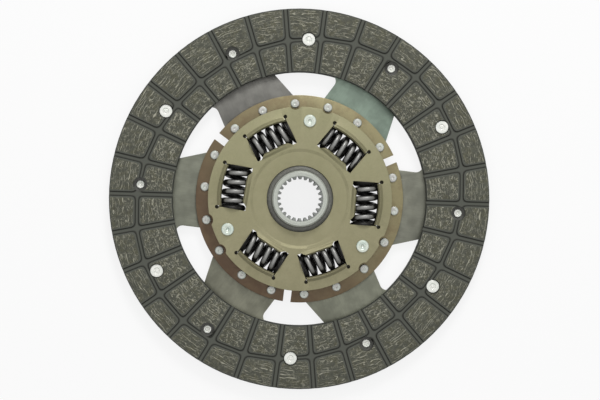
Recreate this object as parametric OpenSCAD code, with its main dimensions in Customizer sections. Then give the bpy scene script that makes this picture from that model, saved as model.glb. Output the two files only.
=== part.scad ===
// Clutch disc with a spring damper between its hub and its facings.
// Millimetres. The origin is on the axis, halfway between the two facings, and +Z points to the cover side.

/* [Facings] */
// Outer diameter of the friction facings
facing_od = 225; // [220:1:240]
// Diameter of the hole in the friction facings
facing_bore_d = 150; // [144:1:152]
// Thickness of one facing
facing_t = 3.4; // [3:0.1:4]
// Gap between the two facings, which the cushion segments fill
facing_gap = 1.6; // [1.5:0.1:2]
// Number of radial grooves
groove_count = 30; // [24:6:36]
// Angle of the first radial groove
groove_start = 10.3; // [0:0.1:12]
// Width of a radial groove
radial_groove_w = 2.3; // [1.6:0.1:3]
// Width of the groove between the two rows of pads
row_groove_w = 1.9; // [1.4:0.1:2.6]
// Depth of the grooves
groove_depth = 0.7; // [0.4:0.1:1]
// Distance of the row groove outside the middle of the facing
row_groove_offset = 1.5; // [0:0.1:3]
// How far the oval row groove swings in and out
row_groove_swing = 4.5; // [0:0.1:6]
// Direction of the row groove's widest place
row_groove_turn = 39; // [0:1:90]
// Corner radius of the pads
pad_corner_r = 1.6; // [0.8:0.1:2.2]

/* [Facing rivets] */
// Distance of the facing rivets outside the middle of the facing
facing_rivet_offset = 0.7; // [0:0.1:2]
// Angle of the first rivet with its head in the front facing
front_rivet_angle = 26.7; // [20:0.1:30]
// Angle of the first rivet with its head in the rear facing
rear_rivet_angle = 54.8; // [50:0.1:60]
// Shank diameter of the facing rivets
facing_rivet_d = 4.2; // [3.6:0.1:4.6]
// Head diameter of the facing rivets
facing_rivet_head_d = 7.7; // [7:0.1:8.4]
// Head thickness of the facing rivets
facing_rivet_head_t = 1.1; // [0.8:0.1:1.4]
// Diameter of the upset end of the facing rivets
facing_rivet_tail_d = 4.9; // [4.7:0.1:5.6]
// Height of the upset end of the facing rivets
facing_rivet_tail_h = 0.9; // [0.7:0.1:1.2]
// Depth of the rivet heads below the face of the facing
facing_rivet_sink = 1; // [0.8:0.1:1.2]

/* [Cushion segments] */
// Sheet thickness of the segments
segment_t = 0.7; // [0.6:0.05:0.8]
// How far a segment's foot reaches inside the circle of ring rivets
segment_reach = 4.4; // [4:0.1:4.8]
// Margin of a segment's foot inside the disc plate's edge
segment_foot_margin = 0.8; // [0.4:0.1:1.2]
// Angle from the clockwise edge to the other edge of a segment's foot
segment_foot_span = 50.4; // [50:0.1:54]
// Angle of the first segment's middle ring rivet
segment_angle = 52.7; // [52:0.1:53]
// Angle from the middle ring rivet back to the clockwise edge of the neck
neck_start = 19.2; // [18:0.1:20]
// Angle from the middle ring rivet on to the other edge of the neck
neck_end = 23.4; // [22:0.1:24]
// Angle between the end of a wing and the next wing
wing_gap = 1.6; // [1:0.1:3]
// Angle from the middle ring rivet to the middle of the wing
wing_lead = 18.05; // [17:0.05:19]
// Margin of a wing inside the edges of the facings
wing_margin = 1; // [0.8:0.1:2]
// Length of the slope between a wing's two levels
wing_ramp = 12; // [8:1:16]
// Radius between a neck and its wing
neck_fillet_r = 4; // [3:0.1:5]

/* [Springs] */
// Outer diameter of the springs
spring_od = 16; // [15:0.1:16.4]
// Wire diameter of the springs
spring_wire_d = 3.5; // [3:0.1:3.6]
// Turns of wire in each spring
spring_turns = 4.8; // [4.4:0.1:5.2]

/* [Spring windows] */
// Length of the spring windows along the springs
window_len = 25.6; // [25:0.1:26]
// Angle between a stop pin and the windows beside it
window_offset = 33; // [32:0.1:34]
// How far the windows reach outside the springs
window_outer_gap = 1.9; // [1.6:0.1:2.4]
// How far the windows reach inside the springs
window_inner_gap = 1.1; // [0.8:0.1:1.4]
// Width of the plates between the washers and the spring windows
window_inner_wall = 3.1; // [2.9:0.1:3.6]
// Diameter of the relief holes at the ends of the outer bends
relief_hole_d = 1.9; // [1.6:0.1:2.4]
// Radial reach of the outer flaps
outer_flap_reach = 3.2; // [2.8:0.1:3.4]
// Radial reach of the inner flaps
inner_flap_reach = 2.6; // [2:0.1:2.8]
// Distance from the ends of a window to the ends of its inner flap
inner_flap_margin = 2.6; // [2:0.1:3.4]
// How much each slanting end shortens the inner flap's free edge
inner_flap_slant = 3; // [2:0.1:4]
// Angle by which the flaps stand up from the plates
flap_angle = 38; // [34:1:42]

/* [Cover plate] */
// Sheet thickness of the cover plate
cover_t = 1.6; // [1.4:0.1:2]
// Width of the cover plate's rim outside the windows
cover_rim = 4.7; // [4.2:0.1:5.2]
// Depth of the sunk middle
cover_step = 0.6; // [0.4:0.1:0.8]
// Slope of the step round the sunk middle
cover_step_angle = 34; // [30:1:45]
// Gap between the washers and the step
cover_step_gap = 0.1; // [0.1:0.05:0.4]
// Gap that the cover plate's edge keeps from the ring rivets beside the pins
rivet_relief = 1.35; // [1:0.05:1.5]

/* [Disc plate] */
// Sheet thickness of the disc plate
disc_plate_t = 1.8; // [1.6:0.1:2.2]
// Width of the disc plate outside the circle of ring rivets
disc_plate_rim = 5; // [4.6:0.1:6]
// Width of the open slots in the disc plate's edge
edge_slot_w = 4.5; // [3.5:0.1:5]
// Distance from the windows' circle to the open slots
edge_slot_wall = 2.4; // [2:0.1:4]

/* [Ring rivets] */
// Distance of the circle of ring rivets outside the cover plate's edge
ring_rivet_gap = 2.3; // [2.2:0.1:2.8]
// Shank diameter of the ring rivets
ring_rivet_d = 4; // [3.6:0.1:4.4]
// Head diameter of the ring rivets
ring_rivet_head_d = 5.3; // [5:0.1:5.6]
// Head height of the ring rivets
ring_rivet_head_h = 1.3; // [1:0.1:1.6]

/* [Stop pins] */
// Angle of the first stop pin
pin_start = 82.8; // [80:0.1:85]
// Distance of the stop pins inside the cover plate's edge
pin_inset = 8; // [7.6:0.1:8.2]
// Diameter of the pins between the plates
pin_shoulder_d = 7.2; // [6.6:0.1:7.4]
// Diameter of the pins in the plates
pin_shank_d = 5; // [4.6:0.1:5.4]
// Diameter of the pin heads
pin_head_d = 7.4; // [7:0.1:8]
// Height of the pin heads
pin_head_h = 1.2; // [1:0.1:1.5]

/* [Hub] */
// Twist of the hub to each side before the pins stop it
twist = 8; // [6:0.5:8.5]
// How far the hub's flange ends inside the cover plate's edge
flange_inset = 2.6; // [2.4:0.1:3]
// Thickness of the flange
flange_t = 4; // [3.6:0.1:4.4]
// Height of the boss's front end above the middle of the disc
boss_front = 17.5; // [16:0.1:22]
// How far the boss's rear end stays above the rear facing's face
boss_rear_gap = 0.3; // [0.2:0.1:1]
// Wall of the boss outside the spline
boss_wall = 3.3; // [3:0.1:4]
// Edge bevel of the boss
boss_bevel = 0.8; // [0.5:0.1:1.2]
// Number of spline teeth
spline_teeth = 24; // [20:1:26]
// Diameter across the tips of the spline teeth
spline_minor_d = 23; // [22:0.1:24]
// Depth of the tooth spaces
spline_depth = 1.7; // [1.4:0.1:2]
// Width of a tooth space at the tips of the teeth
spline_space_w = 2; // [1.8:0.1:2.1]
// Width of a tooth space at its bottom
spline_root_w = 1.1; // [0.9:0.1:1.3]
// Angle of the first tooth space
spline_start = 6.5; // [0:0.5:15]
// Depth of the bevels at the tips of the teeth in the mouths of the bore
spline_bevel = 0.6; // [0.4:0.1:1]

/* [Friction parts] */
// Thickness of the rear friction washer
rear_washer_t = 1.5; // [1.3:0.1:1.7]
// Thickness of the front friction washer
front_washer_t = 0.8; // [0.7:0.1:1]
// Thickness of the thrust plate
thrust_plate_t = 0.5; // [0.4:0.1:0.6]
// Height of the pressed cone spring
cone_spring_h = 0.5; // [0.5:0.05:0.7]
// Sheet thickness of the cone spring
cone_spring_t = 0.35; // [0.3:0.05:0.4]
// Width of the rings of both friction washers, the thrust plate and the cone spring
washer_w = 5.3; // [4.6:0.1:6]
// Wall of the bushes round the hub's boss
bush_wall = 2.65; // [2:0.05:3]
// Width of the bushes' collars outside the plates' holes
bush_collar_w = 2; // [1.4:0.1:2.2]
// Height of the front bush above the sunk middle of the cover plate
bush_proud = 0.3; // [0.2:0.1:0.6]

/* [Fits] */
// Gap round a rivet or pin in its hole
rivet_fit = 0.05; // [0.02:0.01:0.1]
// Running gap round the hub's boss and beside its flange
running_fit = 0.05; // [0.03:0.01:0.1]
// Gap of a bush in its plate
bush_fit = 0.3; // [0.2:0.05:0.4]
// Gap between the washers and the bushes' collars
washer_fit = 0.5; // [0.3:0.05:0.7]
// Gap round a rivet's head or tail in its facing
head_fit = 0.4; // [0.2:0.05:0.5]
// Gap that stays between a stop pin and the hub at full twist
stop_fit = 0.25; // [0.2:0.05:0.4]
// Gap between a spring and each end of its window
spring_end_fit = 0.05; // [0.05:0.01:0.1]
// Gap between a spring and the outer side of the flange's window
spring_side_fit = 0.25; // [0.2:0.05:0.4]

/* [Hidden] */
$fn = 96;

// Colours
facing_color = [0.33, 0.32, 0.28];
segment_color = [0.47, 0.49, 0.43];
disc_plate_color = [0.45, 0.38, 0.3];
cover_color = [0.59, 0.57, 0.45];
rivet_color = [0.8, 0.8, 0.78];
pin_color = [0.76, 0.79, 0.74];
bush_color = [0.25, 0.25, 0.24];
washer_color = [0.4, 0.38, 0.34];
hub_color = [0.68, 0.7, 0.65];
spring_color = [0.2, 0.2, 0.2];

// Extra length of a cutter past the face that it cuts
over = 1;
// How far the arc of a pad's corner reaches past the pad's edges, and its cutter past the corner
corner_cross = 0.05;
corner_tuck = 0.25;
// How far a flap reaches into its plate past the bend, and its share of the plate's thickness there
flap_tuck = 0.3;
flap_root = 0.4;
// How far a neck's outline runs on into the foot and the wing that it joins
neck_tuck = 3;
// Angle that a neck's clockwise edge keeps from the end of its wing
neck_inset = 0.2;
// How far the bevels in the spline's mouths reach outside the tooth spaces
mouth_margin = 0.3;
// Bevel round a riveted head, and the height of the edge below it
head_bevel = 1;
head_edge_h = 0.5;
// Bevel of the front bush's outer edge
bush_bevel = 0.4;
// Radius and depth of the dimple that the riveting punch leaves
dimple_r = 1;
dimple_depth = 0.5;

segment_count = 6;
rivets_a_segment = 3;
ring_rivet_count = segment_count * rivets_a_segment;
pin_count = 3;
window_count = 2 * pin_count;
// Turn of each spring's wire about its own axis, as the springs happened to be put in
spring_phases = [18, 187, 126, 54, 126, 108];

facing_r = facing_od / 2;
facing_bore_r = facing_bore_d / 2;
facing_mid_r = (facing_r + facing_bore_r) / 2;
row_groove_r = facing_mid_r + row_groove_offset;
facing_rivet_r = facing_mid_r + facing_rivet_offset;
// Height of the seat of a rivet's head above the facing's inner face
facing_seat_h = facing_t - facing_rivet_sink - facing_rivet_head_t;
groove_step = 360 / groove_count;
segment_step = 360 / segment_count;
// The rear facing is the front one turned over about a line in this direction
flip_angle = (front_rivet_angle + rear_rivet_angle) / 2;

wing_inner_r = facing_bore_r + wing_margin;
wing_outer_r = facing_r - wing_margin;
wing_span = segment_step - wing_gap;

// The circles, from the spline outwards
spline_tip_r = spline_minor_d / 2;
spline_root_r = spline_tip_r + spline_depth;
boss_r = spline_root_r + boss_wall;
bush_bore_r = boss_r + running_fit;
bush_r = bush_bore_r + bush_wall;
plate_hole_r = bush_r + bush_fit;
bush_collar_r = plate_hole_r + bush_collar_w;
washer_inner_r = bush_collar_r + washer_fit;
washer_outer_r = washer_inner_r + washer_w;
window_inner = washer_outer_r + window_inner_wall;
spring_circle_r = window_inner + window_inner_gap + spring_od / 2;
window_outer_r = spring_circle_r + spring_od / 2 + window_outer_gap;
cover_r = window_outer_r + cover_rim;
pin_circle_r = cover_r - pin_inset;
flange_r = cover_r - flange_inset;
ring_rivet_r = cover_r + ring_rivet_gap;
ring_rivet_step = 360 / ring_rivet_count;
disc_plate_r = ring_rivet_r + disc_plate_rim;
segment_inner_r = ring_rivet_r - segment_reach;
segment_foot_r = disc_plate_r - segment_foot_margin;

// The stack, from the disc plate to the cover plate
disc_plate_z = segment_t / 2;
disc_plate_top = disc_plate_z + disc_plate_t;
flange_z = disc_plate_top + rear_washer_t + running_fit;
flange_top = flange_z + flange_t;
front_washer_z = flange_top + running_fit;
thrust_plate_z = front_washer_z + front_washer_t;
cone_spring_z = thrust_plate_z + thrust_plate_t;
cover_low_z = cone_spring_z + cone_spring_h;
cover_z = cover_low_z + cover_step;
cover_top = cover_z + cover_t;
spring_z = flange_z + flange_t / 2;
boss_rear = boss_rear_gap - facing_gap / 2 - facing_t;

pin_step = 360 / pin_count;
spring_len = window_len - 2 * spring_end_fit;

function polar(r, a) = [r * cos(a), r * sin(a)];
function unit(v) = v / norm(v);
// Where the line from p along u meets the line from q along v
function meet(p, u, q, v) = p + u * ((q - p)[0] * v[1] - (q - p)[1] * v[0]) / (u[0] * v[1] - u[1] * v[0]);
// Angle from the first stop pin to a window's middle
function window_turn(i) = floor(i / 2) * pin_step + (i % 2 == 0 ? -1 : 1) * window_offset;
function row_groove_at(a) = row_groove_r + row_groove_swing * cos(2 * (a - row_groove_turn));

// What rounds the corner q of a pad whose edges run along e1 and e2. The arc crosses the edges a little
module corner_cut(q, e1, e2, r) {
    half = acos(e1 * e2) / 2;
    mid = unit(e1 + e2);
    inset = r - corner_cross;
    centre = q + mid * inset / sin(half);
    run = inset / tan(half);
    difference() {
        polygon([q - mid * corner_tuck, q + e1 * run, centre, q + e2 * run]);
        translate(centre) circle(r);
    }
}

// The grooves between one radial groove and the next, with the round corners of the pads between them
module groove_sector(a) {
    b = a + groove_step;
    p = polar(row_groove_at(a), a);
    q = polar(row_groove_at(b), b);
    along = unit(q - p);
    across = [-along[1], along[0]] * row_groove_w / 2;
    out_a = polar(1, a);
    out_b = polar(1, b);
    side_a = [-out_a[1], out_a[0]] * radial_groove_w / 2;
    side_b = [out_b[1], -out_b[0]] * radial_groove_w / 2;
    rotate(a) translate([facing_bore_r - over, -radial_groove_w / 2])
        square([facing_r - facing_bore_r + 2 * over, radial_groove_w]);
    polygon([p - across, q - across, q + across, p + across]);
    for (row = [-1, 1]) {
        edge = p - row * across;
        corner_cut(meet(edge, along, side_a, out_a), along, -row * out_a, pad_corner_r);
        corner_cut(meet(edge, along, side_b, out_b), -along, -row * out_b, pad_corner_r);
    }
}

// One facing, standing on the face that meets the cushion segments
module facing() {
    difference() {
        cylinder(h = facing_t, r = facing_r);
        translate([0, 0, -over]) cylinder(h = facing_t + 2 * over, r = facing_bore_r);
        translate([0, 0, facing_t - groove_depth]) linear_extrude(groove_depth + over)
            for (k = [0 : groove_count - 1]) groove_sector(groove_start + k * groove_step);
        for (k = [0 : segment_count - 1]) {
            rotate(front_rivet_angle + k * segment_step) translate([facing_rivet_r, 0, 0]) {
                translate([0, 0, facing_seat_h])
                    cylinder(h = facing_t, d = facing_rivet_head_d + 2 * head_fit);
                translate([0, 0, -over]) cylinder(h = facing_t, d = facing_rivet_d + 2 * rivet_fit);
            }
            rotate(rear_rivet_angle + k * segment_step) translate([facing_rivet_r, 0, -over])
                cylinder(h = facing_t + 2 * over, d = facing_rivet_head_d + 2 * head_fit);
        }
    }
}

// What lies on the front side of the disc, turned over to its rear side
module turn_over() {
    rotate([180, 0, 2 * flip_angle]) children();
}

module front_facing() {
    color(facing_color) translate([0, 0, facing_gap / 2]) facing();
}

module rear_facing() {
    color(facing_color) turn_over() translate([0, 0, facing_gap / 2]) facing();
}

// Rivets with their heads in the front facing and their upset ends under the segments
module facing_rivet_set() {
    seat_z = facing_gap / 2 + facing_seat_h;
    head_top = seat_z + facing_rivet_head_t;
    sheet_z = facing_gap / 2 - segment_t;
    tail_end = sheet_z - facing_rivet_tail_h;
    head_r = facing_rivet_head_d / 2;
    shank_r = facing_rivet_d / 2;
    tail_r = facing_rivet_tail_d / 2;
    for (k = [0 : segment_count - 1])
        rotate(front_rivet_angle + k * segment_step) translate([facing_rivet_r, 0, 0])
            rotate_extrude() polygon([
                [0, tail_end + dimple_depth], [dimple_r, tail_end],
                [tail_r - head_bevel / 2, tail_end], [tail_r, tail_end + head_edge_h], [tail_r, sheet_z],
                [shank_r, sheet_z], [shank_r, seat_z], [head_r, seat_z], [head_r, head_top - head_edge_h],
                [head_r - head_bevel / 2, head_top], [dimple_r, head_top], [0, head_top - dimple_depth]
            ]);
}

module front_facing_rivets() {
    color(rivet_color) facing_rivet_set();
}

module rear_facing_rivets() {
    color(rivet_color) turn_over() facing_rivet_set();
}

// Part of a flat ring between two angles less than 180 degrees apart
module sector(inner_r, outer_r, from, to) {
    far = outer_r / cos((to - from) / 4) + over;
    intersection() {
        difference() {
            circle(outer_r);
            circle(inner_r);
        }
        polygon([[0, 0], for (k = [0 : 4]) polar(far, from + k * (to - from) / 4)]);
    }
}

// Outline of a segment's foot and neck. Its middle ring rivet lies along +X, and so does the neck's other
// edge, which a round corner joins to the wing
module segment_outline() {
    root_r = segment_foot_r - neck_tuck;
    tip_r = wing_inner_r + neck_tuck;
    wing_start = wing_lead - wing_span / 2 + neck_inset;
    foot_end = polar(disc_plate_r, neck_end);
    corner = [sqrt(pow(wing_inner_r - neck_fillet_r, 2) - pow(foot_end[1] + neck_fillet_r, 2)),
        foot_end[1] + neck_fillet_r];
    touch = [corner[0], foot_end[1]];
    difference() {
        union() {
            sector(segment_inner_r, segment_foot_r, -segment_foot_span / 2, segment_foot_span / 2);
            difference() {
                polygon([
                    polar(root_r, -neck_start), polar(disc_plate_r, -neck_start),
                    polar(wing_inner_r, wing_start), polar(tip_r, wing_start),
                    unit(corner) * tip_r, corner, touch, foot_end, polar(root_r, neck_end)
                ]);
                translate(corner) circle(neck_fillet_r);
            }
        }
        for (k = [-1 : 1]) rotate(k * ring_rivet_step) translate([ring_rivet_r, 0])
            circle(d = ring_rivet_d + 2 * rivet_fit);
    }
}

// The wing lies against the rear facing on its clockwise half and against the front facing on the other
module wing() {
    far = facing_r;
    face = facing_gap / 2;
    back = face - segment_t;
    ramp = wing_ramp / 2;
    rotate(wing_lead) difference() {
        intersection() {
            rotate([90, 0, 90]) linear_extrude(facing_r + over) polygon([
                [-far, -face], [-ramp, -face], [ramp, back], [far, back],
                [far, face], [ramp, face], [-ramp, -back], [-far, -back]
            ]);
            translate([0, 0, -facing_gap]) linear_extrude(2 * facing_gap)
                sector(wing_inner_r, wing_outer_r, -wing_span / 2, wing_span / 2);
        }
        for (a = [front_rivet_angle + segment_step, rear_rivet_angle])
            rotate(a - segment_angle - wing_lead) translate([facing_rivet_r, 0, -facing_gap])
                cylinder(h = 2 * facing_gap, d = facing_rivet_d + 2 * rivet_fit);
    }
}

module cushion_segment(i) {
    color(segment_color) rotate(segment_angle + i * segment_step) {
        translate([0, 0, -segment_t / 2]) linear_extrude(segment_t) segment_outline();
        wing();
    }
}

// Rivets that join the disc plate to the feet of the segments
module ring_rivets() {
    head_r = ring_rivet_head_d / 2;
    shank_r = ring_rivet_d / 2;
    sheet_z = -segment_t / 2;
    head_top = disc_plate_top + ring_rivet_head_h;
    color(rivet_color) for (k = [0 : ring_rivet_count - 1])
        rotate(segment_angle + k * ring_rivet_step) translate([ring_rivet_r, 0, 0])
            rotate_extrude() polygon([
                [0, sheet_z - ring_rivet_head_h], [head_r - head_bevel, sheet_z - ring_rivet_head_h],
                [head_r, sheet_z - head_edge_h], [head_r, sheet_z],
                [shank_r, sheet_z], [shank_r, disc_plate_top],
                [head_r, disc_plate_top], [head_r, disc_plate_top + head_edge_h],
                [head_r - head_bevel, head_top], [0, head_top]
            ]);
}

// The outer flaps of all windows, bent up from a plate whose lower face is at z = 0, and the strip that
// joins them to it
module outer_flaps(t) {
    rise = outer_flap_reach * tan(flap_angle);
    lean = [t * sin(flap_angle), t * cos(flap_angle)];
    bend = t * tan(flap_angle / 2);
    foot = window_outer_r + bend + flap_tuck;
    edge = window_outer_r - outer_flap_reach;
    half = window_len / 2 - relief_hole_d / 4;
    intersection() {
        rotate_extrude() polygon([
            [foot, t * (1 - flap_root) / 2], [window_outer_r, 0], [edge, rise],
            [edge + lean[0], rise + lean[1]], [window_outer_r + bend, t],
            [foot, t * (1 + flap_root) / 2]
        ]);
        translate([0, 0, -over]) linear_extrude(rise + t + 2 * over)
            for (i = [0 : window_count - 1]) rotate(window_turn(i) - 90)
                translate([-half, window_inner]) square([2 * half, window_outer_r]);
    }
}

// The inner flap of a window whose middle lies along +Y, with a straight bend and slanting ends
module inner_flap(t) {
    rise = inner_flap_reach * tan(flap_angle);
    lean = [t * sin(flap_angle), t * cos(flap_angle)];
    bend = t * tan(flap_angle / 2);
    foot = window_inner - bend - flap_tuck;
    edge = window_inner + inner_flap_reach;
    root = window_len / 2 - inner_flap_margin;
    tip = root - inner_flap_slant;
    intersection() {
        rotate([90, 0, 90]) translate([0, 0, -root]) linear_extrude(2 * root) polygon([
            [foot, t * (1 - flap_root) / 2], [window_inner, 0], [edge, rise],
            [edge - lean[0], rise + lean[1]], [window_inner - bend, t], [foot, t * (1 + flap_root) / 2]
        ]);
        translate([0, 0, -over]) linear_extrude(rise + t + 2 * over) polygon([
            [-root, foot - over], [-root, window_inner], [-tip, edge], [-tip, edge + over],
            [tip, edge + over], [tip, edge], [root, window_inner], [root, foot - over]
        ]);
    }
}

// What one window takes out of a flat plate: the window itself and the relief holes at its outer corners
module window_opening(t) {
    half = window_len / 2;
    translate([0, 0, -over]) {
        intersection() {
            cylinder(h = t + 2 * over, r = window_outer_r);
            translate([-half, window_inner, 0]) cube([window_len, window_outer_r, t + 2 * over]);
        }
        for (side = [-1, 1]) translate([side * half, sqrt(pow(window_outer_r, 2) - pow(half, 2)), 0])
            cylinder(h = t + 2 * over, d = relief_hole_d);
    }
}

// Both plates are laid out from the first stop pin, which lies along +X here. The disc plate's flaps point
// to the rear, so it is made with them up and turned over about that pin
module disc_plate() {
    color(disc_plate_color) translate([0, 0, disc_plate_top]) rotate(pin_start) rotate([180, 0, 0]) {
        difference() {
            cylinder(h = disc_plate_t, r = disc_plate_r);
            translate([0, 0, -over]) cylinder(h = disc_plate_t + 2 * over, r = plate_hole_r);
            for (i = [0 : window_count - 1]) rotate(window_turn(i) - 90) window_opening(disc_plate_t);
            for (k = [0 : pin_count - 1]) {
                rotate(k * pin_step) translate([pin_circle_r, 0, -over])
                    cylinder(h = disc_plate_t + 2 * over, d = pin_shank_d + 2 * rivet_fit);
                rotate((k + 0.5) * pin_step) edge_slot();
            }
            for (k = [0 : ring_rivet_count - 1])
                rotate(pin_start - segment_angle - k * ring_rivet_step) translate([ring_rivet_r, 0, -over])
                    cylinder(h = disc_plate_t + 2 * over, d = ring_rivet_d + 2 * rivet_fit);
        }
        for (i = [0 : window_count - 1]) rotate(window_turn(i) - 90) inner_flap(disc_plate_t);
        outer_flaps(disc_plate_t);
    }
}

// An open slot with a round end, from the edge of the disc plate towards the axis
module edge_slot() {
    translate([window_outer_r + edge_slot_wall + edge_slot_w / 2, 0, -over]) {
        cylinder(h = disc_plate_t + 2 * over, d = edge_slot_w);
        translate([0, -edge_slot_w / 2, 0]) cube([disc_plate_r, edge_slot_w, disc_plate_t + 2 * over]);
    }
}

module cover_plate() {
    // Run of the step's slope, and how far its bends lie further out in the sheet's lower face
    run = cover_step / tan(cover_step_angle);
    shift = cover_t * tan(cover_step_angle / 2);
    low_r = washer_outer_r + cover_step_gap;
    color(cover_color) translate([0, 0, cover_z]) rotate(pin_start) {
        difference() {
            rotate_extrude() polygon([
                [plate_hole_r, -cover_step], [low_r, -cover_step], [low_r + run, 0], [cover_r, 0],
                [cover_r, cover_t], [low_r + run - shift, cover_t],
                [low_r - shift, cover_t - cover_step], [plate_hole_r, cover_t - cover_step]
            ]);
            for (i = [0 : window_count - 1]) rotate(window_turn(i) - 90) window_opening(cover_t);
            for (k = [0 : pin_count - 1]) {
                rotate(k * pin_step) translate([pin_circle_r, 0, -over])
                    cylinder(h = cover_t + 2 * over, d = pin_shank_d + 2 * rivet_fit);
                for (side = [-0.5, 0.5]) rotate(k * pin_step + side * ring_rivet_step)
                    translate([ring_rivet_r, 0, -over])
                        cylinder(h = cover_t + 2 * over, r = ring_rivet_head_d / 2 + rivet_relief);
            }
        }
        for (i = [0 : window_count - 1]) rotate(window_turn(i) - 90) inner_flap(cover_t);
        outer_flaps(cover_t);
    }
}

// A pin with a thick middle that holds the plates apart, and a head outside each plate
module stop_pin(k) {
    head_r = pin_head_d / 2;
    shank_r = pin_shank_d / 2;
    shoulder_r = pin_shoulder_d / 2;
    color(pin_color) rotate(pin_start + k * pin_step) translate([pin_circle_r, 0, 0])
        rotate_extrude() polygon([
            [0, disc_plate_z - pin_head_h], [head_r - head_bevel, disc_plate_z - pin_head_h],
            [head_r, disc_plate_z - head_edge_h], [head_r, disc_plate_z], [shank_r, disc_plate_z],
            [shank_r, disc_plate_top], [shoulder_r, disc_plate_top], [shoulder_r, cover_z],
            [shank_r, cover_z], [shank_r, cover_top], [head_r, cover_top], [head_r, cover_top + head_edge_h],
            [head_r - head_bevel, cover_top + pin_head_h], [dimple_r, cover_top + pin_head_h],
            [0, cover_top + pin_head_h - dimple_depth]
        ]);
}

// Plain bushes that centre the plates on the hub's boss
module rear_bush() {
    color(bush_color) rotate_extrude() polygon([
        [bush_bore_r, disc_plate_z], [bush_r, disc_plate_z], [bush_r, disc_plate_top],
        [bush_collar_r, disc_plate_top], [bush_collar_r, flange_z - running_fit],
        [bush_bore_r, flange_z - running_fit]
    ]);
}

module front_bush() {
    top = cover_low_z + cover_t + bush_proud;
    color(bush_color) rotate_extrude() polygon([
        [bush_bore_r, front_washer_z], [bush_collar_r, front_washer_z], [bush_collar_r, cover_low_z],
        [bush_r, cover_low_z], [bush_r, top - bush_bevel], [bush_r - bush_bevel, top], [bush_bore_r, top]
    ]);
}

module flat_washer(z, t) {
    rotate_extrude() translate([washer_inner_r, z]) square([washer_outer_r - washer_inner_r, t]);
}

module rear_friction_washer() {
    color(washer_color) flat_washer(disc_plate_top, rear_washer_t);
}

module front_friction_washer() {
    color(washer_color) flat_washer(front_washer_z, front_washer_t);
}

module thrust_plate() {
    color(rivet_color) flat_washer(thrust_plate_z, thrust_plate_t);
}

// A coned ring that presses the thrust plate against the washer
module cone_spring() {
    color(rivet_color) rotate_extrude() polygon([
        [washer_inner_r, cone_spring_z], [washer_outer_r, cover_low_z - cone_spring_t],
        [washer_outer_r, cover_low_z], [washer_inner_r, cone_spring_z + cone_spring_t]
    ]);
}

// The hub, turned and broached from one piece, with windows for the springs in its flange
module hub() {
    color(hub_color) difference() {
        rotate_extrude() polygon([
            [0, boss_rear], [boss_r - boss_bevel, boss_rear], [boss_r, boss_rear + boss_bevel],
            [boss_r, flange_z], [flange_r, flange_z], [flange_r, flange_top],
            [boss_r, flange_top], [boss_r, boss_front - boss_bevel],
            [boss_r - boss_bevel, boss_front], [0, boss_front]
        ]);
        spline_space();
        for (i = [0 : window_count - 1]) rotate(pin_start + window_turn(i) - 90) flange_window();
        for (k = [0 : pin_count - 1]) rotate(pin_start + k * pin_step) pin_notch();
    }
}

module flange_window() {
    depth = spring_circle_r + spring_od / 2 + spring_side_fit - window_inner;
    translate([-window_len / 2, window_inner, flange_z - over])
        cube([window_len, depth, flange_t + 2 * over]);
}

// The room that a stop pin needs in the flange over the whole twist
module pin_notch() {
    clear_r = pin_shoulder_d / 2 + stop_fit;
    half = twist + asin(clear_r / pin_circle_r);
    translate([0, 0, flange_z - over]) linear_extrude(flange_t + 2 * over)
        sector(pin_circle_r - clear_r, flange_r + over, -half, half);
}

// The toothed bore with its bevelled mouths
module spline_space() {
    length = boss_front - boss_rear;
    flare = (spline_space_w - spline_root_w) / spline_depth / 2;
    mouth_r = spline_root_r + mouth_margin;
    // Depth on the axis of the cone that bevels the tips of the teeth by spline_bevel
    cone_h = spline_bevel * mouth_r / (mouth_r - spline_tip_r);
    translate([0, 0, boss_rear - over]) {
        cylinder(h = length + 2 * over, r = spline_tip_r);
        intersection() {
            cylinder(h = length + 2 * over, r = spline_root_r);
            linear_extrude(length + 2 * over) for (k = [0 : spline_teeth - 1])
                rotate(spline_start + k * 360 / spline_teeth) polygon([
                    [spline_tip_r - over, -spline_space_w / 2 - flare * over],
                    [spline_root_r + over, -spline_root_w / 2 + flare * over],
                    [spline_root_r + over, spline_root_w / 2 - flare * over],
                    [spline_tip_r - over, spline_space_w / 2 + flare * over]
                ]);
        }
    }
    rotate_extrude() polygon([
        [0, boss_front - cone_h], [mouth_r, boss_front], [mouth_r + over, boss_front + over],
        [0, boss_front + over]
    ]);
    rotate_extrude() polygon([
        [0, boss_rear - over], [mouth_r + over, boss_rear - over], [mouth_r, boss_rear],
        [0, boss_rear + cone_h]
    ]);
}

// Closed turns at each end of a spring, and the turns over which it opens to its full pitch
coil_closed = 0.4;
coil_blend = 0.5;
closed_pitch = 1.04 * spring_wire_d;
// Distance of the wire's middle from the ground end, at the wire's own end
end_inset = 0.3 * spring_wire_d;
open_gain = (spring_len - 2 * end_inset - closed_pitch * spring_turns)
    / (spring_turns - 2 * coil_closed - coil_blend);
// Turns that count at full gain after x turns, with a smooth start
function eased(x) = x <= 0 ? 0 : x >= coil_blend ? x - coil_blend / 2
    : x / 2 - coil_blend / (2 * PI) * sin(180 * x / coil_blend);
function coil_rise(t) = end_inset + closed_pitch * t
    + open_gain * (eased(t - coil_closed) - eased(t - spring_turns + coil_closed + coil_blend));
function held(x, low, high) = min(max(x, low), high);

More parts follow.
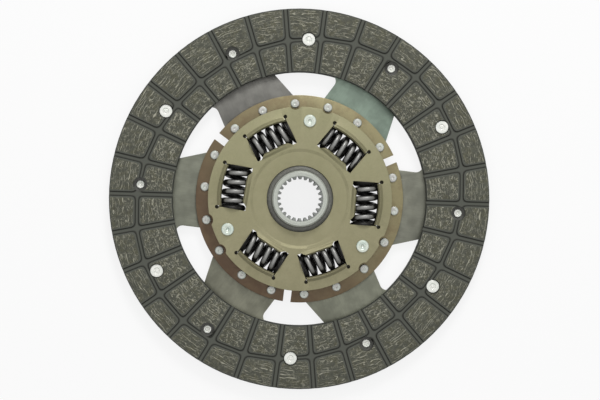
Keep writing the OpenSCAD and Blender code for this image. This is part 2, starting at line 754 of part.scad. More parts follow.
// A coil spring along +X with closed ends that are ground flat
module coil_spring(phase) {
    rings_a_turn = 18;
    sides = 8;
    mean_r = (spring_od - spring_wire_d) / 2;
    rings = round(rings_a_turn * spring_turns);
    points = [
        for (i = [0 : rings], j = [0 : sides - 1])
            let (
                t = spring_turns * i / rings,
                turn = 360 * t + phase,
                r = mean_r + spring_wire_d / 2 * cos((j + 0.5) * 360 / sides),
                x = coil_rise(t) + spring_wire_d / 2 * sin((j + 0.5) * 360 / sides)
            )
            [held(x, 0, spring_len) - spring_len / 2, r * cos(turn), r * sin(turn)]
    ];
    walls = [
        for (i = [0 : rings - 1], j = [0 : sides - 1])
            let (k = (j + 1) % sides)
            [i * sides + j, i * sides + k, (i + 1) * sides + k, (i + 1) * sides + j]
    ];
    ends = [[for (j = [sides - 1 : -1 : 0]) j], [for (j = [0 : sides - 1]) rings * sides + j]];
    polyhedron(points, concat(walls, ends), convexity = 10);
}

module damper_spring(i) {
    color(spring_color) rotate(pin_start + window_turn(i) - 90) translate([0, spring_circle_r, spring_z])
        coil_spring(spring_phases[i]);
}

front_facing();
rear_facing();
cushion_segment(0);  // cushion_segment_1
cushion_segment(1);  // cushion_segment_2
cushion_segment(2);  // cushion_segment_3
cushion_segment(3);  // cushion_segment_4
cushion_segment(4);  // cushion_segment_5
cushion_segment(5);  // cushion_segment_6
front_facing_rivets();
rear_facing_rivets();
ring_rivets();
disc_plate();
cover_plate();
stop_pin(0);  // stop_pin_1
stop_pin(1);  // stop_pin_2
stop_pin(2);  // stop_pin_3
rear_bush();
front_bush();
rear_friction_washer();
front_friction_washer();
thrust_plate();
cone_spring();
hub();
damper_spring(0);  // damper_spring_1
damper_spring(1);  // damper_spring_2
damper_spring(2);  // damper_spring_3
damper_spring(3);  // damper_spring_4
damper_spring(4);  // damper_spring_5
damper_spring(5);  // damper_spring_6
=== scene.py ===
"""Clutch disc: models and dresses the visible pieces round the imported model.

Lengths are millimetres while a piece is modelled, and metres once it is finished. Angles are degrees,
counted from +X towards +Y. The disc's axis is Z, and the cover plate's side looks up.
"""

import logging
import math
from collections.abc import Callable, Iterable, Iterator, Sequence
from contextlib import contextmanager
from dataclasses import dataclass
from enum import Enum

import bmesh
import bpy
from mathutils import Matrix, Vector


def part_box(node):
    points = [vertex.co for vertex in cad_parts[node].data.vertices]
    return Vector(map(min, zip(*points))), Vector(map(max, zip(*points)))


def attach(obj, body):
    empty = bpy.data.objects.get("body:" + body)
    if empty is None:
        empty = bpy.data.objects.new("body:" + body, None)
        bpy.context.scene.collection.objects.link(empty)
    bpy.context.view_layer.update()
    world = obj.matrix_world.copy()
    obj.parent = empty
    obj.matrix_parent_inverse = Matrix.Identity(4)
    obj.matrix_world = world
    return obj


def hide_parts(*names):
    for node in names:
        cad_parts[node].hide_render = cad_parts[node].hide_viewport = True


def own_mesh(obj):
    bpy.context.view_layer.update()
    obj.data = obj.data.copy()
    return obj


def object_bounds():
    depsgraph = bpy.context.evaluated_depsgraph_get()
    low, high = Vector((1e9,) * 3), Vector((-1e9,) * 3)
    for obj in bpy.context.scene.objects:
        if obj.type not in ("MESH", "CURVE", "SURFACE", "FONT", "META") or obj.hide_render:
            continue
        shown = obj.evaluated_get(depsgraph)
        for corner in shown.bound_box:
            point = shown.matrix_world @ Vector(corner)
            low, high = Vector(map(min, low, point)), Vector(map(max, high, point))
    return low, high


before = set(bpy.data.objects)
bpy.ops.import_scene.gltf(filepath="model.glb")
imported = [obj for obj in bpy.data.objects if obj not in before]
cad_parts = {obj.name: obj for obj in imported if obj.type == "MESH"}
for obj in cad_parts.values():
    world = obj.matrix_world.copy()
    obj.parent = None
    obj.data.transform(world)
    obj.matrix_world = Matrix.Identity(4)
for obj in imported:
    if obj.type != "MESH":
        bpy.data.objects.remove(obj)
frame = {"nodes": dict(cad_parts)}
CAD_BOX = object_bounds()

log = logging.getLogger("clutch_disc")

MM = 0.001
# Points nearer to each other than this are one point.
MERGE = 1e-4
FULL_TURN = 360.0
SIDES = (-1, 1)
UPSIDE_DOWN = Matrix.Rotation(math.pi, 4, "X")
# A face lies level if its normal's height is over this.
UPRIGHT = 0.9
# What a place is multiplied by to lay it on the disc's middle plane.
FLAT = (1, 1, 0)
# Values that meshes carry: the place on the front facing, and how far spring wire stands out.
LAID = "laid"
PROUD = "proud"

Colour = tuple[float, float, float]
WHITE: Colour = (1.0, 1.0, 1.0)


class Body(Enum):
    """The bodies that pieces ride on."""

    DISC = "disc"
    HUB = "hub"
    SPRINGS = "springs"


class Slot(Enum):
    """The record's material slots."""

    FACING = "facing"
    SEGMENT = "segment"
    DISC_PLATE = "disc_plate"
    COVER_PLATE = "cover_plate"
    RIVET = "rivet"
    STOP_PIN = "stop_pin"
    BUSH = "bush"
    FRICTION_WASHER = "friction_washer"
    THRUST_PLATE = "thrust_plate"
    HUB = "hub"
    SPRING = "spring"


class Part(Enum):
    """The kinds of mesh element that can be picked."""

    VERTEX = "VERT"
    EDGE = "EDGE"
    FACE = "FACE"


def srgb(red: int, green: int, blue: int) -> Colour:
    """Turns a screen colour into the linear colour that shaders use.

    Args:
        red: Red from 0 to 255.
        green: Green from 0 to 255.
        blue: Blue from 0 to 255.

    Returns:
        The linear colour.
    """
    def linear(level: int) -> float:
        """Returns one level as a linear share."""
        share = level / 255
        return share / 12.92 if share <= 0.04045 else ((share + 0.055) / 1.055) ** 2.4

    return linear(red), linear(green), linear(blue)


def scaled_colour(colour: Colour, factor: float) -> Colour:
    """Returns a colour made darker or lighter by a factor."""
    return tuple(min(1.0, channel * factor) for channel in colour)


def polar(radius: float, angle: float, height: float = 0.0) -> Vector:
    """Returns the point at a radius, an angle in degrees and a height."""
    turn = math.radians(angle)
    return Vector((radius * math.cos(turn), radius * math.sin(turn), height))


def arc(radius: float, start: float, end: float, steps: int) -> list[Vector]:
    """Returns the points of an arc about the axis, both ends among them.

    Args:
        radius: The arc's radius.
        start: Its first angle.
        end: Its last angle.
        steps: The number of straight pieces in it.

    Returns:
        The points.
    """
    return [polar(radius, start + (end - start) * step / steps) for step in range(steps + 1)]


def around(start: float, count: int) -> list[float]:
    """Returns the angles of things spaced evenly round the axis, the first at the start angle."""
    return [start + number * FULL_TURN / count for number in range(count)]


def bearing(place: Vector) -> float:
    """Returns the angle in degrees at which a place lies round the axis."""
    return math.degrees(math.atan2(place.y, place.x))


def turned(angle: float) -> Matrix:
    """Returns a turn about the disc's axis by an angle in degrees."""
    return Matrix.Rotation(math.radians(angle), 4, "Z")


def span(node: str) -> tuple[Vector, Vector]:
    """Returns a CAD node's lowest and highest corner in millimetres."""
    low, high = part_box(node)
    return low / MM, high / MM


@dataclass(frozen=True)
class Corner:
    """A corner of a flat outline, with the radius that rounds it."""

    x: float
    y: float
    radius: float = 0.0


def rounded(corners: Sequence[Corner], steps: int = 4) -> list[tuple[float, float]]:
    """Rounds the corners of a closed outline.

    Args:
        corners: The outline's corners in order.
        steps: The number of straight pieces in each round corner.

    Returns:
        The points of the rounded outline.
    """
    points = []
    for index, corner in enumerate(corners):
        here = Vector((corner.x, corner.y))
        if not corner.radius:
            points.append((here.x, here.y))
            continue
        before = corners[index - 1]
        after = corners[(index + 1) % len(corners)]
        to_before = (Vector((before.x, before.y)) - here).normalized()
        to_after = (Vector((after.x, after.y)) - here).normalized()
        half = to_before.angle(to_after) / 2
        centre = here + (to_before + to_after).normalized() * corner.radius / math.sin(half)
        start = here + to_before * corner.radius / math.tan(half) - centre
        end = here + to_after * corner.radius / math.tan(half) - centre
        sweep = start.angle_signed(end)
        for step in range(steps + 1):
            turn = -sweep * step / steps
            arm = Vector((start.x * math.cos(turn) - start.y * math.sin(turn),
                          start.x * math.sin(turn) + start.y * math.cos(turn)))
            points.append(tuple(centre + arm))
    return points


class Piece:
    """One mesh on the bench, shaped in millimetres with Blender's modelling operators."""

    def __init__(self, thing: bpy.types.Object) -> None:
        """Takes an object that has just been added, and applies its place to its mesh."""
        self.thing = thing
        self._alone()
        bpy.ops.object.transform_apply(location=True, rotation=True, scale=True)

    @classmethod
    def outline(cls, name: str, points: Sequence[Vector]) -> "Piece":
        """Makes a flat filled piece from a circle whose vertices are moved to the outline.

        Args:
            name: The piece's name.
            points: The outline's points in order.

        Returns:
            The flat piece.
        """
        deselect()
        bpy.ops.mesh.primitive_circle_add(vertices=len(points), radius=1, fill_type="NGON")
        piece = cls._named(name)
        for vertex, point in zip(piece.thing.data.vertices, points):
            vertex.co = point
        return piece

    @classmethod
    def cylinder(cls, name: str, radius: float, low: float, high: float, place: Vector = Vector(),
                 vertices: int = 48, turn: float = 0.0) -> "Piece":
        """Makes an upright cylinder.

        Args:
            name: The piece's name.
            radius: The cylinder's radius.
            low: The height of its lower end.
            high: The height of its upper end.
            place: Where its axis stands.
            vertices: The number of its sides.
            turn: The angle by which it is turned.

        Returns:
            The cylinder.
        """
        deselect()
        bpy.ops.mesh.primitive_cylinder_add(
            vertices=vertices, radius=radius, depth=high - low,
            location=(place.x, place.y, (low + high) / 2), rotation=(0, 0, math.radians(turn)))
        return cls._named(name)

    @classmethod
    def block(cls, name: str, low: Vector, high: Vector) -> "Piece":
        """Makes a block between two corners.

        Args:
            name: The piece's name.
            low: The lowest corner.
            high: The highest corner.

        Returns:
            The block.
        """
        deselect()
        bpy.ops.mesh.primitive_cube_add(size=1, location=(low + high) / 2, scale=high - low)
        return cls._named(name)

    @classmethod
    def lathe(cls, name: str, corners: Sequence[Corner], steps: int = 96, round_steps: int = 4) -> "Piece":
        """Turns a section round the disc's axis.

        Args:
            name: The piece's name.
            corners: The section's corners, with the radius as x and the height as y.
            steps: The number of sides round the axis.
            round_steps: The number of straight pieces in each round corner.

        Returns:
            The turned piece.
        """
        section = rounded(corners, round_steps)
        piece = cls.outline(name, [Vector((x, 0, y)) for x, y in section])
        piece.whole(bpy.ops.mesh.delete, type="ONLY_FACE")
        with piece.edit(Part.EDGE):
            if piece.pick(Part.EDGE, lambda e: all(abs(v.co.x) < MERGE for v in e.verts)):
                bpy.ops.mesh.delete(type="EDGE")
            bpy.ops.mesh.select_all(action="SELECT")
            bpy.ops.mesh.spin(steps=steps, angle=math.tau, center=(0, 0, 0), axis=(0, 0, 1))
        piece.clean()
        return piece

    @classmethod
    def prism(cls, name: str, points: Sequence[Vector], low: float, high: float) -> "Piece":
        """Makes an upright prism.

        Args:
            name: The piece's name.
            points: The outline's points in order, at height 0.
            low: The height of its lower end.
            high: The height of its upper end.

        Returns:
            The prism.
        """
        lift = Vector((0, 0, low))
        return cls.outline(name, [point + lift for point in points]).extrude(high - low)

    @classmethod
    def wire(cls, name: str, points: Sequence[Vector], radius: float) -> "Piece":
        """Makes a round wire with closed ends.

        Args:
            name: The piece's name.
            points: The points of the wire's middle in order.
            radius: The wire's radius.

        Returns:
            The wire.
        """
        curve = bpy.data.curves.new(name, "CURVE")
        curve.dimensions = "3D"
        curve.bevel_depth = radius
        curve.bevel_resolution = 6
        curve.use_fill_caps = True
        spline = curve.splines.new("POLY")
        spline.points.add(len(points) - 1)
        for knot, point in zip(spline.points, points):
            knot.co = (*point, 1)
        thing = bpy.data.objects.new(name, curve)
        bpy.context.scene.collection.objects.link(thing)
        deselect()
        thing.select_set(True)
        bpy.context.view_layer.objects.active = thing
        bpy.ops.object.convert(target="MESH")
        return cls(bpy.context.active_object)

    @classmethod
    def _named(cls, name: str) -> "Piece":
        """Wraps the object that was just added, under a name."""
        thing = bpy.context.active_object
        thing.name = name
        thing.data.name = name
        return cls(thing)

    def _alone(self) -> None:
        """Selects only this piece."""
        deselect()
        self.thing.select_set(True)
        bpy.context.view_layer.objects.active = self.thing

    @contextmanager
    def edit(self, part: Part) -> Iterator[None]:
        """Edit mode with nothing selected, for as long as the block lasts."""
        self._alone()
        bpy.ops.object.mode_set(mode="EDIT")
        bpy.ops.mesh.select_mode(type=part.value)
        bpy.ops.mesh.select_all(action="DESELECT")
        yield
        bpy.ops.object.mode_set(mode="OBJECT")

    def pick(self, part: Part, wanted: Callable[..., bool]) -> int:
        """Selects in edit mode what passes a test.

        Args:
            part: The kind of element.
            wanted: The test.

        Returns:
            How many elements were selected.
        """
        bpy.ops.mesh.select_all(action="DESELECT")
        mesh = bmesh.from_edit_mesh(self.thing.data)
        elements = {Part.VERTEX: mesh.verts, Part.EDGE: mesh.edges, Part.FACE: mesh.faces}[part]
        found = [element for element in elements if wanted(element)]
        for element in found:
            element.select_set(True)
        mesh.select_flush_mode()
        bmesh.update_edit_mesh(self.thing.data)
        return len(found)

    def whole(self, operator: Callable[..., set[str]], **settings: object) -> None:
        """Runs a modelling operator on the whole piece.

        Args:
            operator: The operator.
            settings: Its settings.
        """
        with self.edit(Part.FACE):
            bpy.ops.mesh.select_all(action="SELECT")
            operator(**settings)

    def drop_faces(self, unwanted: Callable[[bmesh.types.BMFace], bool]) -> None:
        """Removes the faces that pass a test."""
        with self.edit(Part.FACE):
            self.pick(Part.FACE, unwanted)
            bpy.ops.mesh.delete(type="FACE")

    def store(self, name: str, kind: str, entry: str, value: Callable[[Vector], object]) -> None:
        """Stores a value for each point under a name.

        Args:
            name: The name.
            kind: The kind of value.
            entry: The name of what holds a value of this kind.
            value: Gives the value for a point's place.
        """
        mesh = self.thing.data
        stored = mesh.attributes.new(name, kind, "POINT")
        for vertex in mesh.vertices:
            setattr(stored.data[vertex.index], entry, value(vertex.co))

    def clean(self) -> None:
        """Merges doubles and turns all faces outwards."""
        with self.edit(Part.VERTEX):
            bpy.ops.mesh.select_all(action="SELECT")
            bpy.ops.mesh.remove_doubles(threshold=MERGE)
            bpy.ops.mesh.normals_make_consistent(inside=False)

    def extrude(self, height: float) -> "Piece":
        """Gives a flat outline a height along Z, and returns the piece."""
        with self.edit(Part.FACE):
            bpy.ops.mesh.select_all(action="SELECT")
            bpy.ops.mesh.extrude_region_move(TRANSFORM_OT_translate={"value": (0, 0, height)})
            bpy.ops.mesh.select_all(action="SELECT")
            bpy.ops.mesh.normals_make_consistent(inside=False)
        return self

    def trim(self, point: Vector, outwards: Vector) -> None:
        """Cuts off what lies past a plane, and closes the cut.

        Args:
            point: A point on the plane.
            outwards: The direction of what is cut off.
        """
        self.whole(bpy.ops.mesh.bisect, plane_co=point, plane_no=outwards, use_fill=True, clear_outer=True)

    def move(self, matrix: Matrix) -> "Piece":
        """Moves the mesh, and returns the piece."""
        self.thing.data.transform(matrix)
        self.thing.data.update()
        return self

    def copy(self, name: str, matrix: Matrix = Matrix.Identity(4)) -> "Piece":
        """Makes a copy with its own mesh.

        Args:
            name: The copy's name.
            matrix: How the copy is moved.

        Returns:
            The copy.
        """
        thing = self.thing.copy()
        thing.data = self.thing.data.copy()
        thing.name = thing.data.name = name
        bpy.context.scene.collection.objects.link(thing)
        return Piece(thing).move(matrix)

    def join(self, others: Iterable["Piece"]) -> "Piece":
        """Takes other pieces into this one as loose shells, and returns it."""
        self._alone()
        for other in others:
            other.thing.select_set(True)
        bpy.ops.object.join()
        return self

    def round_array(self, angles: Iterable[float]) -> "Piece":
        """Replaces the piece by copies of it turned to each angle, joined as one."""
        name = self.thing.name
        copies = [self.copy(f"{name}_{index}", turned(angle)) for index, angle in enumerate(angles)]
        bpy.data.objects.remove(self.thing)
        first = copies[0].join(copies[1:])
        first.thing.name = name
        return first

    def modify(self, kind: str, **settings: object) -> None:
        """Adds one modifier with its settings and applies it."""
        self._alone()
        modifier = self.thing.modifiers.new(kind.lower(), kind)
        for key, value in settings.items():
            setattr(modifier, key, value)
        bpy.ops.object.modifier_apply(modifier=modifier.name)

    def cut(self, *tools: "Piece") -> None:
        """Takes the tools' shapes out of the piece, and removes the tools."""
        self._combine("DIFFERENCE", tools)

    def fuse(self, *tools: "Piece") -> None:
        """Makes the tools one solid with the piece, and removes them."""
        self._combine("UNION", tools)

    def _combine(self, operation: str, tools: Sequence["Piece"]) -> None:
        """Applies one boolean modifier for each tool."""
        for tool in tools:
            self.modify("BOOLEAN", operation=operation, object=tool.thing, solver="EXACT")
            bpy.data.objects.remove(tool.thing)

    def round_edges(self, width: float, sharper_than: float = 50.0) -> None:
        """Rounds the edges that are sharper than an angle, by a width."""
        self.modify("BEVEL", width=width, segments=2, limit_method="ANGLE",
                    angle_limit=math.radians(sharper_than), use_clamp_overlap=True, harden_normals=False)

    def finish(self, material: bpy.types.Material, body: Body, slot: Slot, *nodes: str,
               smooth: float = 40.0) -> bpy.types.Object:
        """Scales the piece to metres, dresses it and puts it on its body.

        Args:
            material: The piece's material.
            body: The body that it rides on.
            slot: Not used.
            nodes: The CAD nodes that it stands for.
            smooth: The angle up to which neighbouring faces are shaded as one.

        Returns:
            The finished object.
        """
        self.move(Matrix.Scale(MM, 4))
        self._alone()
        bpy.ops.object.shade_smooth_by_angle(angle=math.radians(smooth))
        self.thing.data.materials.clear()
        self.thing.data.materials.append(material)
        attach(self.thing, body.value)
        if nodes:
            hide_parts(*nodes)
        log.info("%s: %d faces", self.thing.name, len(self.thing.data.polygons))
        return self.thing


def deselect() -> None:
    """Deselects every object."""
    bpy.ops.object.select_all(action="DESELECT")


@dataclass(frozen=True)
class Grooves:
    """How the grooves run over a facing: straight outwards, and round it between two rows of pads."""

    count: int = 30
    start: float = 10.3
    radial_width: float = 2.3
    row_width: float = 1.9
    row_radius: float = 95.25
    row_swing: float = 4.5
    row_turn: float = 39.0

    @property
    def step(self) -> float:
        """The angle from one radial groove to the next."""
        return FULL_TURN / self.count

    def row_at(self, angle: float) -> float:
        """Returns the radius at which a radial groove at an angle crosses the groove between the rows."""
        return self.row_radius + self.row_swing * math.cos(math.radians(2 * (angle - self.row_turn)))

    def sector(self, place: Vector) -> int:
        """Returns the number of the sector between two radial grooves that a place lies in."""
        return int((bearing(place) - self.start) % FULL_TURN / self.step)

    def row_line(self, sector: int) -> tuple[Vector, Vector]:
        """Returns a point on a sector's row groove and the direction across it, away from the axis."""
        angle = self.start + sector * self.step
        begin = polar(self.row_at(angle), angle)
        end = polar(self.row_at(angle + self.step), angle + self.step)
        along = (end - begin).normalized()
        return begin, Vector((along.y, -along.x, 0))

    def from_groove(self, place: Vector) -> float:
        """Returns how far a place lies from the middle of the nearest radial groove."""
        turn = bearing(place) - self.start
        nearest = round(turn / self.step) * self.step
        return abs(place.to_2d().length * math.sin(math.radians(turn - nearest)))

    def from_row(self, place: Vector) -> float:
        """Returns how far a place lies outside the groove between the rows."""
        point, outwards = self.row_line(self.sector(place))
        return (place - point).dot(outwards)


class Signal:
    """A value that a material works out, so that sums on it are written as sums."""

    def __init__(self, graph: "Graph", socket: bpy.types.NodeSocket) -> None:
        """Takes the output of a node in a graph."""
        self.graph = graph
        self.socket = socket

    def math(self, operation: str, *others: "Value") -> "Signal":
        """Returns the result of an operation of the math node on this value and others."""
        return self.graph.out("Math", dict(enumerate((self, *others))), operation=operation)

    def __add__(self, other: "Value") -> "Signal":
        """Returns the sum."""
        return self.math("ADD", other)

    def __sub__(self, other: "Value") -> "Signal":
        """Returns the difference."""
        return self.math("SUBTRACT", other)

    def __mul__(self, other: "Value") -> "Signal":
        """Returns the product."""
        return self.math("MULTIPLY", other)

    def __abs__(self) -> "Signal":
        """Returns the value without its sign."""
        return self.math("ABSOLUTE")

    def ease(self, low: float, high: float, start: float = 0.0, end: float = 1.0) -> "Signal":
        """Maps the value smoothly from one range to another.

        Args:
            low: Where the result is start.
            high: Where the result is end.
            start: The result at low.
            end: The result at high.

        Returns:
            The result.
        """
        ranges = {"Value": self, "From Min": low, "From Max": high, "To Min": start, "To Max": end}
        return self.graph.out("MapRange", ranges, interpolation_type="SMOOTHSTEP")


Value = float | Colour | Signal


class Graph:
    """A node tree that is written one node at a time."""

    def __init__(self, tree: bpy.types.NodeTree) -> None:
        """Takes a node tree and empties it."""
        self.tree = tree
        self.tree.nodes.clear()

    def feed(self, plug: bpy.types.NodeSocket, value: Value) -> None:
        """Gives a node's input a constant or a value that is worked out."""
        if isinstance(value, Signal):
            self.tree.links.new(value.socket, plug)
        elif isinstance(value, tuple) and plug.type == "RGBA":
            plug.default_value = (*value, 1)
        else:
            plug.default_value = value

    def node(self, kind: str, inputs: dict[str | int, Value], **settings: object) -> bpy.types.Node:
        """Adds a node.

        Args:
            kind: The node's type, without its prefix.
            inputs: Its inputs by name or number.
            settings: Its other settings.

        Returns:
            The node.
        """
        made = self.tree.nodes.new("ShaderNode" + kind)
        for key, value in settings.items():
            setattr(made, key, value)
        for key, value in inputs.items():
            self.feed(made.inputs[key], value)
        return made

    def out(self, kind: str, inputs: dict[str | int, Value], output: str | int = 0,
            **settings: object) -> Signal:
        """Adds a node as node() does, and returns one of its outputs."""
        return Signal(self, self.node(kind, inputs, **settings).outputs[output])


class Finish(Graph):
    """A procedural material. Positions in it are millimetres."""

    def __init__(self, name: str) -> None:
        """Starts a material with a shader and an output."""
        self.material = bpy.data.materials.new(name)
        self.material.use_nodes = True
        super().__init__(self.material.node_tree)
        self.shader = self.node("BsdfPrincipled", {})
        self.output = self.node("OutputMaterial", {"Surface": Signal(self, self.shader.outputs["BSDF"])})

    def vector(self, operation: str, *inputs: Value, output: int = 0) -> Signal:
        """Returns the result of an operation of the vector math node, whose output 1 is a number."""
        return self.out("VectorMath", dict(enumerate(inputs)), output, operation=operation)

    def scaled(self, place: Signal, factor: float) -> Signal:
        """Returns a place scaled by a number."""
        return self.out("VectorMath", {0: place, "Scale": factor}, operation="SCALE")

    def position(self) -> Signal:
        """Returns the place on the piece in millimetres."""
        return self.scaled(self.out("TexCoord", {}, "Object"), 1 / MM)

    def height(self, place: Signal) -> Signal:
        """Returns the height of a place."""
        return self.out("SeparateXYZ", {0: place}, "Z")

    def radius(self, place: Signal) -> Signal:
        """Returns the distance from the disc's axis."""
        return self.vector("LENGTH", self.vector("MULTIPLY", place, FLAT), output=1)

    def wound(self, place: Signal, along: float, across: float, mean_radius: float) -> Signal:
        """Returns a place that runs round the disc's axis, for patterns that follow the circles.

        Args:
            place: The place on the piece.
            along: The length of a feature along the circles.
            across: The width of a feature across the circles.
            mean_radius: The radius at which along is true.

        Returns:
            The place to read a noise at.
        """
        way = self.vector("NORMALIZE", self.vector("MULTIPLY", place, FLAT))
        rise = self.out("CombineXYZ", {"Z": self.radius(place) * (1 / across)})
        return self.vector("ADD", self.scaled(way, mean_radius / along), rise)

    def mix(self, share: Value, a: Value, b: Value) -> Signal:
        """Returns the colour between a and b."""
        return self.out("Mix", {0: share, 6: a, 7: b}, 2, data_type="RGBA")

    def noise(self, place: Signal, scale: float, detail: float = 2.0, roughness: float = 0.5,
              distortion: float = 0.0) -> Signal:
        """Returns a cloudy value round 0.5.

        Args:
            place: Where the noise is read.
            scale: The number of clouds in a unit of that place.
            detail: The number of finer layers.
            roughness: The strength of the finer layers.
            distortion: How far the clouds are stirred.

        Returns:
            The value.
        """
        return self.out("TexNoise", {"Vector": place, "Scale": scale, "Detail": detail,
                                     "Roughness": roughness, "Distortion": distortion}, "Fac")

    def surface(self, colour: Value, metallic: Value, roughness: Value, relief: Signal,
                depth: float) -> bpy.types.Material:
        """Sets the shader.

        Args:
            colour: The colour.
            metallic: The share of bare metal.
            roughness: The roughness.
            relief: The height of a fine relief, from 0 to 1.
            depth: The relief's depth in millimetres.

        Returns:
            The material.
        """
        normal = self.out("Bump", {"Height": relief, "Distance": depth * MM, "Strength": 1.0})
        values = {"Base Color": colour, "Metallic": metallic, "Roughness": roughness, "Normal": normal}
        for name, value in values.items():
            self.feed(self.shader.inputs[name], value)
        return self.material


@dataclass(frozen=True)
class LiningFinish:
    """Moulded friction lining: grey resin with pale yarns, wound round the disc and curled near its bore."""

    grooves: Grooves
    top: float
    bore_radius: float
    outer_radius: float
    resin: Colour = srgb(87, 88, 78)
    olive: Colour = srgb(92, 91, 74)
    dark: Colour = srgb(62, 63, 57)
    yarn: Colour = srgb(184, 182, 164)
    yarn_share: float = 0.72
    yarn_pitch: float = 1.5
    yarn_length: float = 9.0
    floor: Colour = srgb(86, 88, 81)
    # Colour of the painted shade in the grooves.
    groove_shade: Colour = srgb(34, 34, 30)
    wall_shade_share: float = 0.9
    foot_shade_share: float = 0.65
    mean_radius: float = 94.0
    plain_margin: float = 1.2
    plain_rim: float = 0.7
    corner_blend: float = 4.2
    roughness: float = 0.85
    specular: float = 0.25
    relief: float = 0.1

    def build(self) -> bpy.types.Material:
        """Returns the material."""
        finish = Finish("friction_lining")
        place = finish.out("Attribute", {}, "Vector", attribute_name=LAID)
        from_row, beside, on_pad = self._pads(finish, place)
        curled = self._curled_yarns(finish, place) * from_row.ease(-0.1, 0.1, 0.75, 0.4)
        wound = self._wound_yarns(finish, place) * from_row.ease(-0.1, 0.1, 0.8, 1.0)
        yarns = wound.math("MAXIMUM", curled) * on_pad
        patches = finish.noise(place, 0.3, 3.0).ease(0.42, 0.66, 0.0, 0.8) * on_pad
        colour = finish.mix(patches, self.resin, self.olive)
        streaks = finish.noise(finish.wound(place, 2.2, 0.7, self.mean_radius), 1.0, 3.0, 0.6)
        colour = finish.mix(streaks.ease(0.35, 0.62, 0.55, 0.0), colour, self.dark)
        colour = finish.mix(on_pad, self.floor, colour)
        # Painted shade in the grooves: darker on the pads' walls and along their foot.
        colour = finish.mix(self._painted_shade(finish, place, beside), colour, self.groove_shade)
        grain = finish.noise(place, 2.6, 3.0, 0.65)
        colour = finish.mix(grain.ease(0.4, 0.7, 0.0, 0.25), colour, self.dark)
        colour = finish.mix(yarns * self.yarn_share, colour, self.yarn)
        finish.feed(finish.shader.inputs["Specular IOR Level"], self.specular)
        return finish.surface(colour, 0.0, self.roughness, yarns * 0.6 + grain * 0.4, self.relief)

    def _pads(self, finish: Finish, place: Signal) -> tuple[Signal, Signal, Signal]:
        """Works out where the pads are.

        Args:
            finish: The material.
            place: The place on the front facing.

        Returns:
            The distance outside the groove between the rows, the distance outside any groove, and 1 where
            yarns show on a pad's face.
        """
        grooves = self.grooves
        parts = [finish.out("SeparateXYZ", {0: place}, axis) for axis in "XY"]
        angle = parts[1].math("ARCTAN2", parts[0])
        radius = finish.radius(place)
        step = math.radians(grooves.step)
        near = ((angle - math.radians(grooves.start)) * (1 / step)).math("PINGPONG", 0.5)
        swing = ((angle - math.radians(grooves.row_turn)) * 2.0).math("COSINE")
        sag = grooves.row_radius * (1 - math.cos(step / 2))
        from_middle = near - 0.5
        bulge = from_middle * from_middle * (4 * sag) - sag
        from_row = radius - (swing * grooves.row_swing + grooves.row_radius + bulge)
        beside_row = abs(from_row) - grooves.row_width / 2
        beside_groove = near * step * radius - grooves.radial_width / 2
        beside = beside_row.math("SMOOTH_MIN", beside_groove, self.corner_blend)
        inside = (radius * -1.0 + self.outer_radius).math("MINIMUM", radius - self.bore_radius)
        on_pad = beside.ease(self.plain_margin - 0.35, self.plain_margin + 0.35)
        on_pad = on_pad * inside.ease(self.plain_rim - 0.3, self.plain_rim + 0.3)
        return from_row, beside, on_pad * finish.height(place).ease(self.top - 0.2, self.top - 0.02)

    def _painted_shade(self, finish: Finish, place: Signal, beside: Signal) -> Signal:
        """Returns the share of painted shade, on the pads' walls and along their foot, where the grooves lie in
        shade.
        """
        height = finish.height(place)
        wall = height.ease(self.top - 0.68, self.top - 0.6)
        wall = wall * height.ease(self.top - 0.14, self.top - 0.02, 1.0, 0.0)
        foot = beside.ease(-0.75, -0.15) * beside.ease(0.15, 0.6, 1.0, 0.0)
        return (wall * self.wall_shade_share).math("MAXIMUM", foot * self.foot_shade_share)

    def _wound_yarns(self, finish: Finish, place: Signal) -> Signal:
        """Returns the yarns that run round the disc, broken here and there."""
        sway = finish.noise(finish.wound(place, 11.0, 5.0, self.mean_radius), 1.0, 2.0)
        turns = finish.radius(place) * (1 / self.yarn_pitch) + sway * 5.0
        breaks = finish.noise(finish.wound(place, self.yarn_length, 1.0, self.mean_radius), 1.0, 2.0, 0.6)
        return (turns * math.tau).math("SINE").ease(0.7, 1.0) * breaks.ease(0.48, 0.6)

    def _curled_yarns(self, finish: Finish, place: Signal) -> Signal:
        """Returns the short curled yarns, which follow the lines where two clouds are half as dense."""
        cloud = finish.noise(finish.wound(place, 3.2, 2.0, self.mean_radius), 1.0, 1.0, 0.5, 0.5)
        other = finish.noise(finish.wound(place, 2.2, 3.4, self.mean_radius), 1.3, 1.0, 0.5, 0.4)
        lines = abs(cloud - 0.5).ease(0.008, 0.03, 1.0, 0.0)
        lines = lines.math("MAXIMUM", abs(other - 0.48).ease(0.007, 0.025, 1.0, 0.0))
        return lines * finish.noise(place, 0.45, 2.0).ease(0.42, 0.56)


